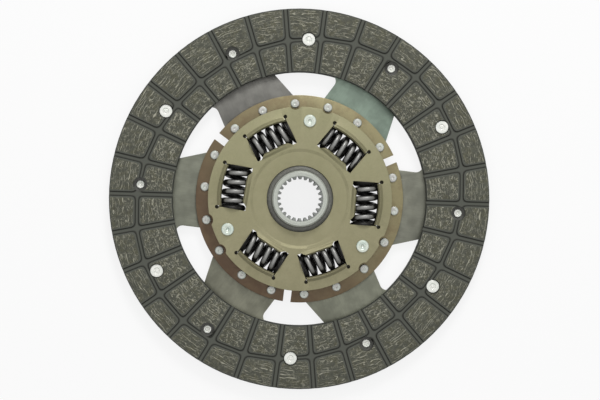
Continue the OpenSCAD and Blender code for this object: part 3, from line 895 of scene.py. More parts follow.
@dataclass(frozen=True)
class SheetFinish:
    """Hardened sheet steel with temper colours, dull and faintly cloudy."""

    name: str
    colour: Colour
    far_colour: Colour
    cloud_colour: Colour
    fade_from: float
    fade_reach: float
    roughness: float
    fade_stir: float = 40.0
    speck: Colour = srgb(70, 66, 52)
    metallic: float = 0.55
    relief: float = 0.02

    def build(self) -> bpy.types.Material:
        """Returns the material."""
        finish = Finish(self.name)
        place = finish.position()
        along = finish.vector("DOT_PRODUCT", place, tuple(polar(1.0, self.fade_from)), output=1)
        stirred = along + (finish.noise(place, 0.05, 3.0) - 0.5) * self.fade_stir
        colour = finish.mix(stirred.ease(-self.fade_reach, self.fade_reach), self.colour, self.far_colour)
        clouds = finish.noise(place, 0.11, 4.0, 0.6).ease(0.42, 0.68, 0.0, 0.5)
        colour = finish.mix(clouds, colour, self.cloud_colour)
        specks = finish.noise(place, 2.6, 3.0, 0.7).ease(0.35, 0.7, 0.0, 0.16)
        colour = finish.mix(specks, colour, self.speck)
        rough = finish.noise(place, 0.3, 4.0, 0.6).ease(0.3, 0.7, self.roughness - 0.06, self.roughness + 0.08)
        return finish.surface(colour, self.metallic, rough, finish.noise(place, 2.2, 4.0, 0.6), self.relief)


@dataclass(frozen=True)
class SpringSteelFinish:
    """Thin rolled spring steel of the cushion segments, with a grain along its neck, and its wing painted dark
    with lining dust and painted shade where it lies between the facings.
    """

    name: str
    colour: Colour
    angle: float
    dust_and_shade: Colour = srgb(82, 82, 75)
    dark_wing_from: float = 79.0
    metallic: float = 0.6
    roughness: float = 0.42
    relief: float = 0.01

    def build(self) -> bpy.types.Material:
        """Returns the material."""
        finish = Finish(self.name)
        place = finish.position()
        lined = finish.out("Mapping", {"Vector": place, "Rotation": (0, 0, -math.radians(self.angle))},
                           vector_type="POINT")
        grain = finish.noise(finish.vector("MULTIPLY", lined, (0.12, 1.6, 1.0)), 1.0, 4.0, 0.6)
        dark, light = scaled_colour(self.colour, 0.8), scaled_colour(self.colour, 1.12)
        colour = finish.mix(finish.noise(place, 0.09, 3.0, 0.55).ease(0.35, 0.65), dark, light)
        colour = finish.mix(grain.ease(0.3, 0.7, 0.0, 0.25), colour, dark)
        # Painted shade and lining dust on the wing, which lies in shade between the facings; bare metal fades
        # out there too.
        dusty_and_shaded = finish.radius(place).ease(self.dark_wing_from - 1.0, self.dark_wing_from + 1.0)
        colour = finish.mix(dusty_and_shaded, colour, self.dust_and_shade)
        rough = grain.ease(0.3, 0.7, self.roughness - 0.05, self.roughness + 0.08)
        return finish.surface(colour, dusty_and_shaded.ease(0.0, 1.0, self.metallic, 0.0), rough, grain, self.relief)


@dataclass(frozen=True)
class BrightFinish:
    """Bright upset steel, with fine marks and faint temper tints."""

    name: str
    colour: Colour
    tint: Colour
    roughness: float
    metallic: float
    relief: float = 0.015

    def build(self) -> bpy.types.Material:
        """Returns the material."""
        finish = Finish(self.name)
        place = finish.position()
        colour = finish.mix(finish.noise(place, 0.35, 2.0).ease(0.4, 0.65, 0.0, 0.8), self.colour, self.tint)
        marks = finish.noise(place, 1.5, 4.0, 0.65)
        colour = finish.mix(marks.ease(0.45, 0.75, 0.0, 0.5), colour, scaled_colour(self.colour, 0.72))
        rough = marks.ease(0.3, 0.7, self.roughness - 0.05, self.roughness + 0.12)
        return finish.surface(colour, self.metallic, rough, marks, self.relief)


@dataclass(frozen=True)
class HubFinish:
    """Machined hub steel: a bright boss, teeth painted darker for the shade inside the bore, and an oily flange
    painted dark for the shade between the plates.
    """

    bright: Colour = srgb(182, 186, 177)
    dull: Colour = srgb(148, 151, 144)
    tooth_in_shade: Colour = srgb(122, 125, 121)
    oily_and_shaded: Colour = srgb(58, 55, 46)
    tooth_radius: float = 13.4
    boss_radius: float = 16.9
    mean_radius: float = 15.0
    metallic: float = 0.5
    roughness: float = 0.4
    relief: float = 0.02

    def build(self) -> bpy.types.Material:
        """Returns the material."""
        finish = Finish("machined_hub_steel")
        place = finish.position()
        radius = finish.radius(place)
        marks = finish.noise(place, 1.5, 4.0, 0.65)
        rings = finish.noise(finish.wound(place, 40.0, 0.5, self.mean_radius), 1.0, 3.0, 0.6)
        colour = finish.mix(marks.ease(0.45, 0.75, 0.0, 0.5), self.bright, self.dull)
        colour = finish.mix(rings.ease(0.4, 0.7, 0.0, 0.4), colour, self.dull)
        # Painted shade: the teeth inside the bore are darker.
        colour = finish.mix(radius.ease(self.tooth_radius - 0.2, self.tooth_radius + 0.2), self.tooth_in_shade, colour)
        # The flange is painted dark: painted shade between the plates, on oily steel.
        colour = finish.mix(radius.ease(self.boss_radius - 0.1, self.boss_radius + 0.4), colour, self.oily_and_shaded)
        rough = marks.ease(0.3, 0.7, self.roughness - 0.05, self.roughness + 0.12)
        return finish.surface(colour, self.metallic, rough, marks * 0.4 + rings, self.relief)


@dataclass(frozen=True)
class DarkFinish:
    """A dark moulded bush, or pressed friction material."""

    name: str
    colour: Colour
    worn: Colour
    metallic: float
    roughness: float
    relief: float = 0.02

    def build(self) -> bpy.types.Material:
        """Returns the material."""
        finish = Finish(self.name)
        place = finish.position()
        colour = finish.mix(finish.noise(place, 0.9, 4.0, 0.65).ease(0.42, 0.7), self.colour, self.worn)
        rough = finish.noise(place, 1.7, 3.0).ease(0.3, 0.7, self.roughness - 0.05, self.roughness + 0.12)
        return finish.surface(colour, self.metallic, rough, finish.noise(place, 3.0, 3.0, 0.6), self.relief)


@dataclass(frozen=True)
class WireFinish:
    """Black oiled spring wire, with a painted grey highlight on the outer top and bottom of its turns, where
    the lamps' reflection falls.
    """

    axis_height: float
    oiled: Colour = srgb(34, 33, 31)
    # The grey of the painted highlight, not a colour of the steel.
    painted_highlight: Colour = srgb(142, 142, 139)
    proud_from: float = 0.64
    proud_to: float = 0.88
    # Heights from the spring's axis between which the painted highlight comes in.
    highlight_from: float = 5.4
    highlight_to: float = 6.6
    metallic: float = 0.6
    roughness: float = 0.42
    relief: float = 0.015

    def build(self) -> bpy.types.Material:
        """Returns the material."""
        finish = Finish("oiled_spring_wire")
        place = finish.position()
        stir = (finish.noise(place, 0.8, 3.0, 0.6) - 0.5) * 0.35
        proud = finish.out("Attribute", {}, "Fac", attribute_name=PROUD) + stir
        stood_out = abs(finish.height(place) - self.axis_height) + stir
        # Painted highlight: grey on the outer top and bottom of each turn, standing in for the lamps'
        # reflection.
        painted_highlight = proud.ease(self.proud_from, self.proud_to) * stood_out.ease(self.highlight_from, self.highlight_to)
        rough = finish.noise(place, 2.0, 3.0).ease(0.3, 0.7, self.roughness - 0.06, self.roughness + 0.1)
        return finish.surface(finish.mix(painted_highlight, self.oiled, self.painted_highlight), self.metallic, rough,
                              finish.noise(place, 2.6, 3.0, 0.6), self.relief)


@dataclass(frozen=True)
class Layout:
    """Angles, counts and sizes that the pieces share."""

    pin_start: float = 82.8
    pin_count: int = 3
    pin_hole: float = 2.55
    window_offset: float = 33.0
    window_length: float = 25.6
    window_inner: float = 30.4
    window_outer: float = 48.4
    segment_angle: float = 52.7
    segment_count: int = 6
    ring_rivet_radius: float = 56.4
    ring_rivet_count: int = 18
    front_rivet_angle: float = 26.7
    rear_rivet_angle: float = 54.8
    facing_rivet_radius: float = 94.45
    running_gap: float = 0.05

    @property
    def pin_angles(self) -> list[float]:
        """The stop pins' angles."""
        return around(self.pin_start, self.pin_count)

    @property
    def window_angles(self) -> list[float]:
        """The windows' angles, a pair for each pin."""
        return [pin + side * self.window_offset for pin in self.pin_angles for side in SIDES]

    @property
    def window_turns(self) -> list[float]:
        """How far what is made for a window along +Y is turned to each window."""
        return [angle - 90 for angle in self.window_angles]

    @property
    def segment_angles(self) -> list[float]:
        """The angles of the segments' middle ring rivets."""
        return around(self.segment_angle, self.segment_count)

    @property
    def ring_rivet_step(self) -> float:
        """The angle from one ring rivet to the next."""
        return FULL_TURN / self.ring_rivet_count

    @property
    def ring_rivet_angles(self) -> list[float]:
        """The ring rivets' angles."""
        return around(self.segment_angle, self.ring_rivet_count)

    @property
    def over_turn(self) -> Matrix:
        """How what lies on the front side is turned over to the rear side."""
        return turned(self.front_rivet_angle + self.rear_rivet_angle) @ UPSIDE_DOWN

    @property
    def pin_radius(self) -> float:
        """The distance of the stop pins from the axis."""
        low, high = span("stop_pin_1")
        return ((low + high) / 2).to_2d().length

    @property
    def plate_low(self) -> float:
        """The height of the disc plate's lower face."""
        return span("rear_bush")[0].z

    @property
    def flange_low(self) -> float:
        """The height of the lower face of the hub's flange."""
        return span("rear_bush")[1].z + self.running_gap


LAYOUT = Layout()


@dataclass
class Facings:
    """The two grooved friction facings, one the other turned over."""

    grooves: Grooves = Grooves()
    depth: float = 0.7
    corner_radius: float = 2.4
    edge_radius: float = 0.55
    head_room: float = 4.25
    shank_room: float = 2.15
    seat_height: float = 1.3
    bore_radius: float = 75.0
    sides: int = 120

    def __post_init__(self) -> None:
        """Takes the heights and the outer radius from the frame."""
        low, high = span("front_facing")
        self.low, self.high, self.radius = low.z, high.z, high.x

    def build(self) -> None:
        """Builds and dresses both facings."""
        front = self._ring()
        pads = self._pads(front)
        self._drill(front)
        self._drill(pads)
        self._soften(pads)
        front.join([pads])
        front.store(LAID, "FLOAT_VECTOR", "vector", lambda place: place)
        rear = front.copy("rear_lining", LAYOUT.over_turn)
        material = LiningFinish(self.grooves, self.high, self.bore_radius, self.radius).build()
        front.finish(material, Body.DISC, Slot.FACING, "front_facing", smooth=35)
        rear.finish(material, Body.DISC, Slot.FACING, "rear_facing", smooth=35)

    def _ring(self) -> Piece:
        """Returns a plain ring up to the floor of the grooves."""
        grooves = self.grooves
        piece = Piece.cylinder("front_lining", self.radius, self.low, self.high - self.depth,
                               vertices=self.sides, turn=grooves.start + grooves.step / 8)
        across = (self.radius - self.bore_radius) * math.cos(math.pi / self.sides)
        with piece.edit(Part.FACE):
            piece.pick(Part.FACE, lambda f: abs(f.normal.z) > UPRIGHT)
            bpy.ops.mesh.inset(thickness=across, use_boundary=True)
            bpy.ops.mesh.delete(type="FACE")
        with piece.edit(Part.EDGE):
            piece.pick(Part.EDGE, lambda e: e.is_boundary)
            bpy.ops.mesh.bridge_edge_loops()
        return piece

    def _pads(self, ring: Piece) -> Piece:
        """Returns the raised pads, which stand on the ring's upper side.

        Args:
            ring: The plain ring.

        Returns:
            The pads as one mesh of closed shells.
        """
        grooves = self.grooves
        half_groove, half_row = grooves.radial_width / 2, grooves.row_width / 2
        pads = ring.copy("pads")
        pads.drop_faces(lambda f: f.normal.z < UPRIGHT)
        for groove in range(grooves.count // 2):
            side = polar(1.0, grooves.start + groove * grooves.step + 90)
            for offset in (-half_groove, half_groove):
                pads.whole(bpy.ops.mesh.bisect, plane_co=side * offset, plane_no=side)
        pads.drop_faces(lambda f: grooves.from_groove(f.calc_center_median()) < half_groove)
        for sector in range(grooves.count):
            point, outwards = grooves.row_line(sector)
            for offset in (-half_row, half_row):
                with pads.edit(Part.FACE):
                    pads.pick(Part.FACE, lambda f: grooves.sector(f.calc_center_median()) == sector)
                    bpy.ops.mesh.bisect(plane_co=point + outwards * offset, plane_no=outwards)
        pads.drop_faces(lambda f: abs(grooves.from_row(f.calc_center_median())) < half_row)
        pads.whole(bpy.ops.mesh.dissolve_limited, angle_limit=math.radians(0.5))
        with pads.edit(Part.VERTEX):
            pads.pick(Part.VERTEX, lambda v: abs(grooves.from_row(v.co)) < grooves.row_width)
            bpy.ops.mesh.bevel(offset=self.corner_radius, segments=5, affect="VERTICES", clamp_overlap=False)
        return pads.extrude(self.depth)

    def _in_hole(self, edge: bmesh.types.BMEdge) -> bool:
        """Tells whether an edge lies on the rim of a hole."""
        centres = [polar(LAYOUT.facing_rivet_radius, angle).to_2d()
                   for start in (LAYOUT.front_rivet_angle, LAYOUT.rear_rivet_angle)
                   for angle in around(start, LAYOUT.segment_count)]
        return any(all((vertex.co.to_2d() - centre).length < self.head_room + MERGE for vertex in edge.verts)
                   for centre in centres)

    def _soften(self, pads: Piece) -> None:
        """Rounds the pads' upper edges, apart from those of the holes."""
        with pads.edit(Part.EDGE):
            pads.pick(Part.EDGE, lambda e: all(v.co.z > self.high - MERGE for v in e.verts)
                      and e.calc_face_angle(0) > 1 and not self._in_hole(e))
            bpy.ops.mesh.bevel(offset=self.edge_radius, segments=2, affect="EDGES", clamp_overlap=False)

    def _drill(self, piece: Piece) -> None:
        """Drills the counterbored holes of the front rivets and the holes over the rear rivets' ends."""
        below, above = self.low - 1, self.high + 1
        front = polar(LAYOUT.facing_rivet_radius, LAYOUT.front_rivet_angle)
        rear = polar(LAYOUT.facing_rivet_radius, LAYOUT.rear_rivet_angle)
        tools = (Piece.cylinder("seats", self.head_room, self.low + self.seat_height, above, front),
                 Piece.cylinder("shanks", self.shank_room, below, above, front),
                 Piece.cylinder("rooms", self.head_room, below, above, rear))
        piece.cut(*(tool.round_array(around(0, LAYOUT.segment_count)) for tool in tools))


@dataclass
class CushionSegments:
    """The six thin spring segments whose wings lie between the facings."""

    thickness: float = 0.7
    reach: float = 4.4
    foot_margin: float = 0.8
    foot_span: float = 50.4
    neck_start: float = 19.2
    neck_end: float = 23.4
    wing_span: float = 58.4
    wing_lead: float = 18.05
    wing_margin: float = 1.0
    fillet: float = 4.0
    fillet_steps: int = 8
    rivet_hole: float = 2.15
    edge: float = 0.12
    lift: float = 0.45
    lift_angle: float = 4.0
    lift_from: float = 66.0
    lift_length: float = 12.0
    colours: tuple[Colour, ...] = (
        srgb(124, 139, 126), srgb(112, 111, 106), srgb(116, 118, 105),
        srgb(120, 120, 105), srgb(124, 126, 111), srgb(120, 121, 109))

    def build(self) -> None:
        """Builds one segment and copies it to the six places."""
        pattern = self._sheet()
        self._bend(pattern)
        pattern.modify("SOLIDIFY", thickness=self.thickness, offset=0.0)
        pattern.round_edges(self.edge)
        for number, (angle, colour) in enumerate(zip(LAYOUT.segment_angles, self.colours), 1):
            finish = SpringSteelFinish(f"segment_steel_{number}", colour, angle)
            piece = pattern.copy(f"segment_{number}", turned(angle))
            piece.finish(finish.build(), Body.DISC, Slot.SEGMENT, f"cushion_segment_{number}", smooth=30)
        bpy.data.objects.remove(pattern.thing)

    def _outline(self) -> list[Vector]:
        """Returns the outline of a segment whose middle ring rivet lies along +X."""
        plate_radius = span("disc_plate")[1].x
        foot_inner = LAYOUT.ring_rivet_radius - self.reach
        foot_outer = plate_radius - self.foot_margin
        wing_outer = span("front_facing")[1].x - self.wing_margin
        wing_inner = Facings.bore_radius + self.wing_margin
        half = self.foot_span / 2
        wing_from, wing_to = self.wing_lead - self.wing_span / 2, self.wing_lead + self.wing_span / 2
        end = polar(plate_radius, self.neck_end)
        corner_y = end.y + self.fillet
        corner = Vector((math.sqrt((wing_inner - self.fillet) ** 2 - corner_y ** 2), corner_y, 0))
        corner_angle = bearing(corner)
        fillet = [corner + place for place in arc(self.fillet, corner_angle, -90, self.fillet_steps)[1:]]
        return (arc(foot_inner, half, -half, 16) + arc(foot_outer, -half, -self.neck_start, 4)
                + [polar(plate_radius, -self.neck_start)] + arc(wing_inner, wing_from + 0.2, wing_from, 1)
                + arc(wing_outer, wing_from, wing_to, 40) + arc(wing_inner, wing_to, corner_angle, 20)
                + fillet + [end] + arc(foot_outer, self.neck_end, half, 2))

    def _sheet(self) -> Piece:
        """Returns the flat sheet with its rivet holes."""
        piece = Piece.outline("segment_pattern", self._outline())
        holes = [polar(LAYOUT.ring_rivet_radius, k * LAYOUT.ring_rivet_step) for k in (-1, 0, 1)]
        front = LAYOUT.front_rivet_angle + FULL_TURN / LAYOUT.segment_count - LAYOUT.segment_angle
        rear = LAYOUT.rear_rivet_angle - LAYOUT.segment_angle
        holes += [polar(LAYOUT.facing_rivet_radius, angle) for angle in (front, rear)]
        piece.extrude(self.thickness)
        piece.cut(*(Piece.cylinder("hole", self.rivet_hole, -1, 2, place, 24) for place in holes))
        piece.drop_faces(lambda f: f.normal.z < UPRIGHT)
        return piece.move(Matrix.Translation((0, 0, -self.thickness)))

    def _bend(self, piece: Piece) -> None:
        """Cuts bending lines into the sheet and bends its wing down and up."""
        for step in range(-6, 7):
            side = polar(1.0, self.wing_lead + step * self.lift_angle / 5 + 90)
            piece.whole(bpy.ops.mesh.bisect, plane_co=(0, 0, 0), plane_no=side)
        for step in range(8):
            place = (self.lift_from + step * self.lift_length / 6, 0, 0)
            piece.whole(bpy.ops.mesh.bisect, plane_co=place, plane_no=(1, 0, 0))
        for vertex in piece.thing.data.vertices:
            side = max(-1.0, min(1.0, (bearing(vertex.co) - self.wing_lead) / self.lift_angle))
            share = max(0.0, min(1.0, (vertex.co.to_2d().length - self.lift_from) / self.lift_length))
            vertex.co.z = self.lift * math.sin(side * math.pi / 2) * share * share * (3 - 2 * share)


@dataclass
class Plate:
    """What the disc plate and the cover plate have in common: windows with bent flaps."""

    thickness: float
    relief_radius: float = 0.95
    relief_distance: float = 49.4
    relief_turn: float = 15.0
    outer_reach: float = 2.3
    inner_reach: float = 2.6
    inner_root: float = 20.4
    inner_tip: float = 14.4
    flap_angle: float = 38.0
    flap_edge: float = 0.15
    tuck: float = 1.2
    edge: float = 0.16
    hole_radius: float = 19.5

    def cut_windows(self, piece: Piece, low: float, high: float) -> None:
        """Cuts the windows and their relief holes.

        Args:
            piece: The plate.
            low: A height below it.
            high: A height above it.
        """
        half = LAYOUT.window_length / 2
        side = math.degrees(math.asin(half / LAYOUT.window_outer))
        points = [Vector((x, LAYOUT.window_inner, 0)) for x in (-half, half)]
        points += arc(LAYOUT.window_outer, 90 - side, 90 + side, 12)
        window = Piece.prism("windows", points, low, high)
        corners = [polar(self.relief_distance, 90 + side * self.relief_turn) for side in SIDES]
        holes = [Piece.cylinder("relief", self.relief_radius, low, high, place, 20) for place in corners]
        piece.cut(*(tool.round_array(LAYOUT.window_turns) for tool in (window, *holes)))

    def _flap_section(self, bend_at: float, reach: float, outwards: int) -> list[tuple[float, float]]:
        """Returns a flap's section across the bend, as distances from the axis and heights.

        Args:
            bend_at: The distance of the bend in the plate's lower face.
            reach: How far the flap reaches over the window.
            outwards: 1 where the flap's foot lies outside the window and -1 where it lies inside it.

        Returns:
            The section's points.
        """
        t = self.thickness
        slope = math.radians(self.flap_angle)
        rise = reach * math.tan(slope)
        shift = t * math.tan(slope / 2)
        foot = bend_at + outwards * (shift + self.tuck)
        tip = bend_at - outwards * reach
        lean = outwards * t * math.sin(slope)
        inset = t * 0.06
        return rounded([
            Corner(foot, inset), Corner(bend_at, inset, 1.6 * t), Corner(tip, rise, self.flap_edge),
            Corner(tip + lean, rise + t * math.cos(slope), self.flap_edge),
            Corner(bend_at + outwards * shift, t - inset, 0.6 * t), Corner(foot, t - inset)])

    def outer_flap(self) -> Piece:
        """Returns the outer flap of a window along +Y, over a plate whose lower face is at 0."""
        half = LAYOUT.window_length / 2 - self.relief_radius / 2
        sweep = 2 * math.degrees(math.asin(half / LAYOUT.window_inner))
        section = self._flap_section(LAYOUT.window_outer, self.outer_reach, 1)
        start = turned(90 + sweep / 2)
        piece = Piece.outline("outer_flap", [start @ Vector((x, 0, y)) for x, y in section])
        piece.whole(bpy.ops.mesh.spin, steps=24, angle=math.radians(sweep), center=(0, 0, 0), axis=(0, 0, 1))
        piece.clean()
        for side in SIDES:
            piece.trim(Vector((side * half, 0, 0)), Vector((side, 0, 0)))
        piece.clean()
        return piece

    def inner_flap(self) -> Piece:
        """Returns the inner flap of a window along +Y, over a plate whose lower face is at 0."""
        root = self.inner_root / 2
        section = self._flap_section(LAYOUT.window_inner, self.inner_reach, -1)
        piece = Piece.outline("inner_flap", [Vector((-root, x, y)) for x, y in section])
        across = {"value": (self.inner_root, 0, 0)}
        piece.whole(bpy.ops.mesh.extrude_region_move, TRANSFORM_OT_translate=across)
        piece.clean()
        slant = (self.inner_root - self.inner_tip) / 2
        for side in SIDES:
            outwards = Vector((side * self.inner_reach, slant, 0)).normalized()
            piece.trim(Vector((side * root, LAYOUT.window_inner, 0)), outwards)
        piece.clean()
        return piece

    def add_flaps(self, piece: Piece, place: Matrix) -> None:
        """Fuses all flaps with the plate and rounds its edges.

        Args:
            piece: The plate.
            place: Where flaps that were made over a plate at 0 go.
        """
        for flap in (self.outer_flap(), self.inner_flap()):
            piece.fuse(flap.round_array(LAYOUT.window_turns).move(place))
        piece.round_edges(self.edge)


@dataclass
class DiscPlate(Plate):
    """The large plate that carries the segments, with its flaps bent to the rear."""

    thickness: float = 1.8
    rivet_hole: float = 2.05
    slot_width: float = 4.5
    slot_end: float = 51.8
    finish: SheetFinish = SheetFinish("temper_brown_steel", srgb(146, 138, 103), srgb(92, 72, 55),
                                      srgb(112, 94, 69), 222.0, 62.0, 0.4)

    def build(self) -> None:
        """Builds and dresses the plate."""
        radius = span("disc_plate")[1].x
        bottom = LAYOUT.plate_low
        top = bottom + self.thickness
        piece = Piece.lathe("tempered_disc_plate", [
            Corner(self.hole_radius, bottom, self.edge), Corner(radius, bottom, self.edge),
            Corner(radius, top, self.edge), Corner(self.hole_radius, top, self.edge)], 180, 2)
        below, above = bottom - 2, top + 2
        self.cut_windows(piece, below, above)
        half = self.slot_width / 2
        centre = self.slot_end + half
        end = Piece.cylinder("slot_end", half, below, above, Vector((centre, 0, 0)), 32)
        way = Piece.block("slot", Vector((centre, -half, below)), Vector((radius + 5, half, above)))
        slots = [angle + FULL_TURN / LAYOUT.pin_count / 2 for angle in LAYOUT.pin_angles]
        piece.cut(end.round_array(slots), way.round_array(slots))
        rivets = Piece.cylinder("rivet_holes", self.rivet_hole, below, above,
                                Vector((LAYOUT.ring_rivet_radius, 0, 0)), 24)
        pins = Piece.cylinder("pin_holes", LAYOUT.pin_hole, below, above, Vector((LAYOUT.pin_radius, 0, 0)), 24)
        piece.cut(rivets.round_array(LAYOUT.ring_rivet_angles), pins.round_array(LAYOUT.pin_angles))
        self.add_flaps(piece, Matrix.Translation((0, 0, top)) @ turned(2 * LAYOUT.pin_start) @ UPSIDE_DOWN)
        piece.finish(self.finish.build(), Body.DISC, Slot.DISC_PLATE, "disc_plate", smooth=35)


@dataclass
class CoverPlate(Plate):
    """The small front plate with its sunk middle, its flaps bent to the front."""

    thickness: float = 1.6
    step: float = 0.6
    step_radius: float = 27.6
    step_slope: float = 18.0
    step_rounding: float = 1.6
    sunk_below_bush: float = 0.3
    relief_radius: float = 1.15
    relief_distance: float = 49.0
    relief_turn: float = 15.6
    radius: float = 54.1
    notch_radius: float = 4.0
    finish: SheetFinish = SheetFinish("olive_gold_steel", srgb(148, 145, 112), srgb(143, 138, 108),
                                      srgb(151, 146, 116), 270.0, 55.0, 0.44)

    @classmethod
    def sunk_top(cls) -> float:
        """Returns the height of the sunk middle's upper face."""
        return span("front_bush")[1].z - cls.sunk_below_bush

    def build(self) -> None:
        """Builds and dresses the plate."""
        sunk_top = self.sunk_top()
        top = sunk_top + self.step
        bottom = top - self.thickness
        slope = math.radians(self.step_slope)
        inner, outer = self.step_radius, self.step_radius + self.step / math.tan(slope)
        shift = self.thickness * math.tan(slope / 2)
        soft = self.step_rounding
        piece = Piece.lathe("gold_cover_plate", [
            Corner(self.hole_radius, bottom - self.step, self.edge),
            Corner(inner + shift, bottom - self.step, soft),
            Corner(outer + shift, bottom, soft), Corner(self.radius, bottom, self.edge),
            Corner(self.radius, top, self.edge), Corner(outer, top, soft), Corner(inner, sunk_top, soft),
            Corner(self.hole_radius, sunk_top, self.edge)], 180, 3)
        below, above = bottom - 3, top + 3
        self.cut_windows(piece, below, above)
        relief = Piece.cylinder("relief", self.notch_radius, below, above,
                                Vector((LAYOUT.ring_rivet_radius, 0, 0)))
        pins = Piece.cylinder("pin_holes", LAYOUT.pin_hole, below, above, Vector((LAYOUT.pin_radius, 0, 0)), 24)
        notches = [pin + side * LAYOUT.ring_rivet_step / 2 for pin in LAYOUT.pin_angles for side in SIDES]
        piece.cut(relief.round_array(notches), pins.round_array(LAYOUT.pin_angles))
        self.add_flaps(piece, Matrix.Translation((0, 0, bottom)))
        piece.finish(self.finish.build(), Body.DISC, Slot.COVER_PLATE, "cover_plate", smooth=35)


@dataclass
class FacingRivets:
    """The hollow rivets of both facings, one set the other turned over."""

    head_radius: float = 3.85
    head_thickness: float = 1.1
    shank_radius: float = 2.1
    tail_radius: float = 2.45
    sheet_high: float = 0.1
    hollow_depth: float = 0.7
    groove_depth: float = 0.3
    finish: BrightFinish = BrightFinish("upset_rivet_steel", srgb(234, 234, 228), srgb(218, 222, 214),
                                        0.4, 0.45)

    def build(self) -> None:
        """Builds and dresses the rivets."""
        low, high = span("front_facing_rivets")
        head, shank, tail = self.head_radius, self.shank_radius, self.tail_radius
        top, end, seat, sheet = high.z, low.z, high.z - self.head_thickness, self.sheet_high
        hollow, groove = end + self.hollow_depth, top - self.groove_depth
        rivet = Piece.lathe("front_rivets", [
            Corner(0, end + 0.2), Corner(0.6, end + 0.2, 0.08), Corner(0.8, hollow, 0.05),
            Corner(1.1, hollow, 0.05), Corner(1.35, end, 0.15), Corner(tail - 0.3, end, 0.25),
            Corner(tail, end + 0.4, 0.15), Corner(tail, sheet, 0.05), Corner(shank, sheet), Corner(shank, seat),
            Corner(head, seat, 0.1), Corner(head, top, 0.3), Corner(1.8, top, 0.12), Corner(1.5, groove, 0.12),
            Corner(1.05, groove, 0.12), Corner(0.8, top - 0.1, 0.1), Corner(0, top - 0.1)], 40, 3)
        rivet.move(Matrix.Translation((LAYOUT.facing_rivet_radius, 0, 0)))
        front = rivet.round_array(around(LAYOUT.front_rivet_angle, LAYOUT.segment_count))
        rear = front.copy("rear_rivets", LAYOUT.over_turn)
        material = self.finish.build()
        front.finish(material, Body.DISC, Slot.RIVET, "front_facing_rivets")
        rear.finish(material, Body.DISC, Slot.RIVET, "rear_facing_rivets")


@dataclass
class RingRivets:
    """The eighteen rivets of the disc plate."""

    head_radius: float = 2.65
    shank_radius: float = 2.0
    head_edge: float = 0.9
    dimple_depth: float = 0.12
    finish: BrightFinish = BrightFinish("ring_rivet_steel", srgb(198, 203, 195), srgb(192, 189, 185),
                                        0.36, 0.6)

    def build(self) -> None:
        """Builds and dresses the rivets."""
        low, high = span("ring_rivets")
        sheet = -CushionSegments.thickness / 2
        plate = LAYOUT.plate_low + DiscPlate.thickness
        head, shank, dimple = self.head_radius, self.shank_radius, high.z - self.dimple_depth
        rivet = Piece.lathe("ring_rivet_heads", [
            Corner(0, low.z), Corner(head - 1, low.z, 0.4), Corner(head, sheet - 0.5, 0.3), Corner(head, sheet),
            Corner(shank, sheet), Corner(shank, plate), Corner(head, plate),
            Corner(head, plate + self.head_edge, 0.3), Corner(head - 0.45, high.z - 0.06, 0.3),
            Corner(0.9, high.z, 0.3), Corner(0.5, dimple, 0.15), Corner(0, dimple)], 28, 3)
        rivet.move(Matrix.Translation((LAYOUT.ring_rivet_radius, 0, 0)))
        rivets = rivet.round_array(LAYOUT.ring_rivet_angles)
        rivets.finish(self.finish.build(), Body.DISC, Slot.RIVET, "ring_rivets")


@dataclass
class StopPins:
    """The three stop pins that hold the two plates apart."""

    head_radius: float = 3.7
    shank_radius: float = 2.5
    shoulder_radius: float = 3.6
    head_edge: float = 0.8
    dimple_depth: float = 0.55
    finish: BrightFinish = BrightFinish("stop_pin_steel", srgb(212, 218, 206), srgb(190, 204, 194),
                                        0.36, 0.55)

    def build(self) -> None:
        """Builds and dresses the pins."""
        low, high = span("stop_pin_1")
        plate_low, plate_top = LAYOUT.plate_low, LAYOUT.plate_low + DiscPlate.thickness
        cover_top = CoverPlate.sunk_top() + CoverPlate.step
        cover_low = cover_top - CoverPlate.thickness
        head, shank, shoulder = self.head_radius, self.shank_radius, self.shoulder_radius
        ring, dimple = high.z - 0.12, high.z - self.dimple_depth
        pin = Piece.lathe("stop_pin", [
            Corner(0, low.z), Corner(head - 1, low.z, 0.4), Corner(head, plate_low - 0.5, 0.3),
            Corner(head, plate_low), Corner(shank, plate_low), Corner(shank, plate_top),
            Corner(shoulder, plate_top), Corner(shoulder, cover_low), Corner(shank, cover_low),
            Corner(shank, cover_top), Corner(head, cover_top, 0.05),
            Corner(head, cover_top + self.head_edge, 0.25), Corner(head - 0.3, high.z - 0.05, 0.3),
            Corner(2.0, high.z, 0.1), Corner(1.8, ring, 0.1), Corner(1.2, ring, 0.1),
            Corner(0.45, dimple, 0.1), Corner(0, dimple - 0.05)], 40, 3)
        material = self.finish.build()
        for number, angle in enumerate(LAYOUT.pin_angles, 1):
            copy = pin.copy(f"pin_{number}", turned(angle) @ Matrix.Translation((LAYOUT.pin_radius, 0, 0)))
            copy.finish(material, Body.DISC, Slot.STOP_PIN, f"stop_pin_{number}")
        bpy.data.objects.remove(pin.thing)


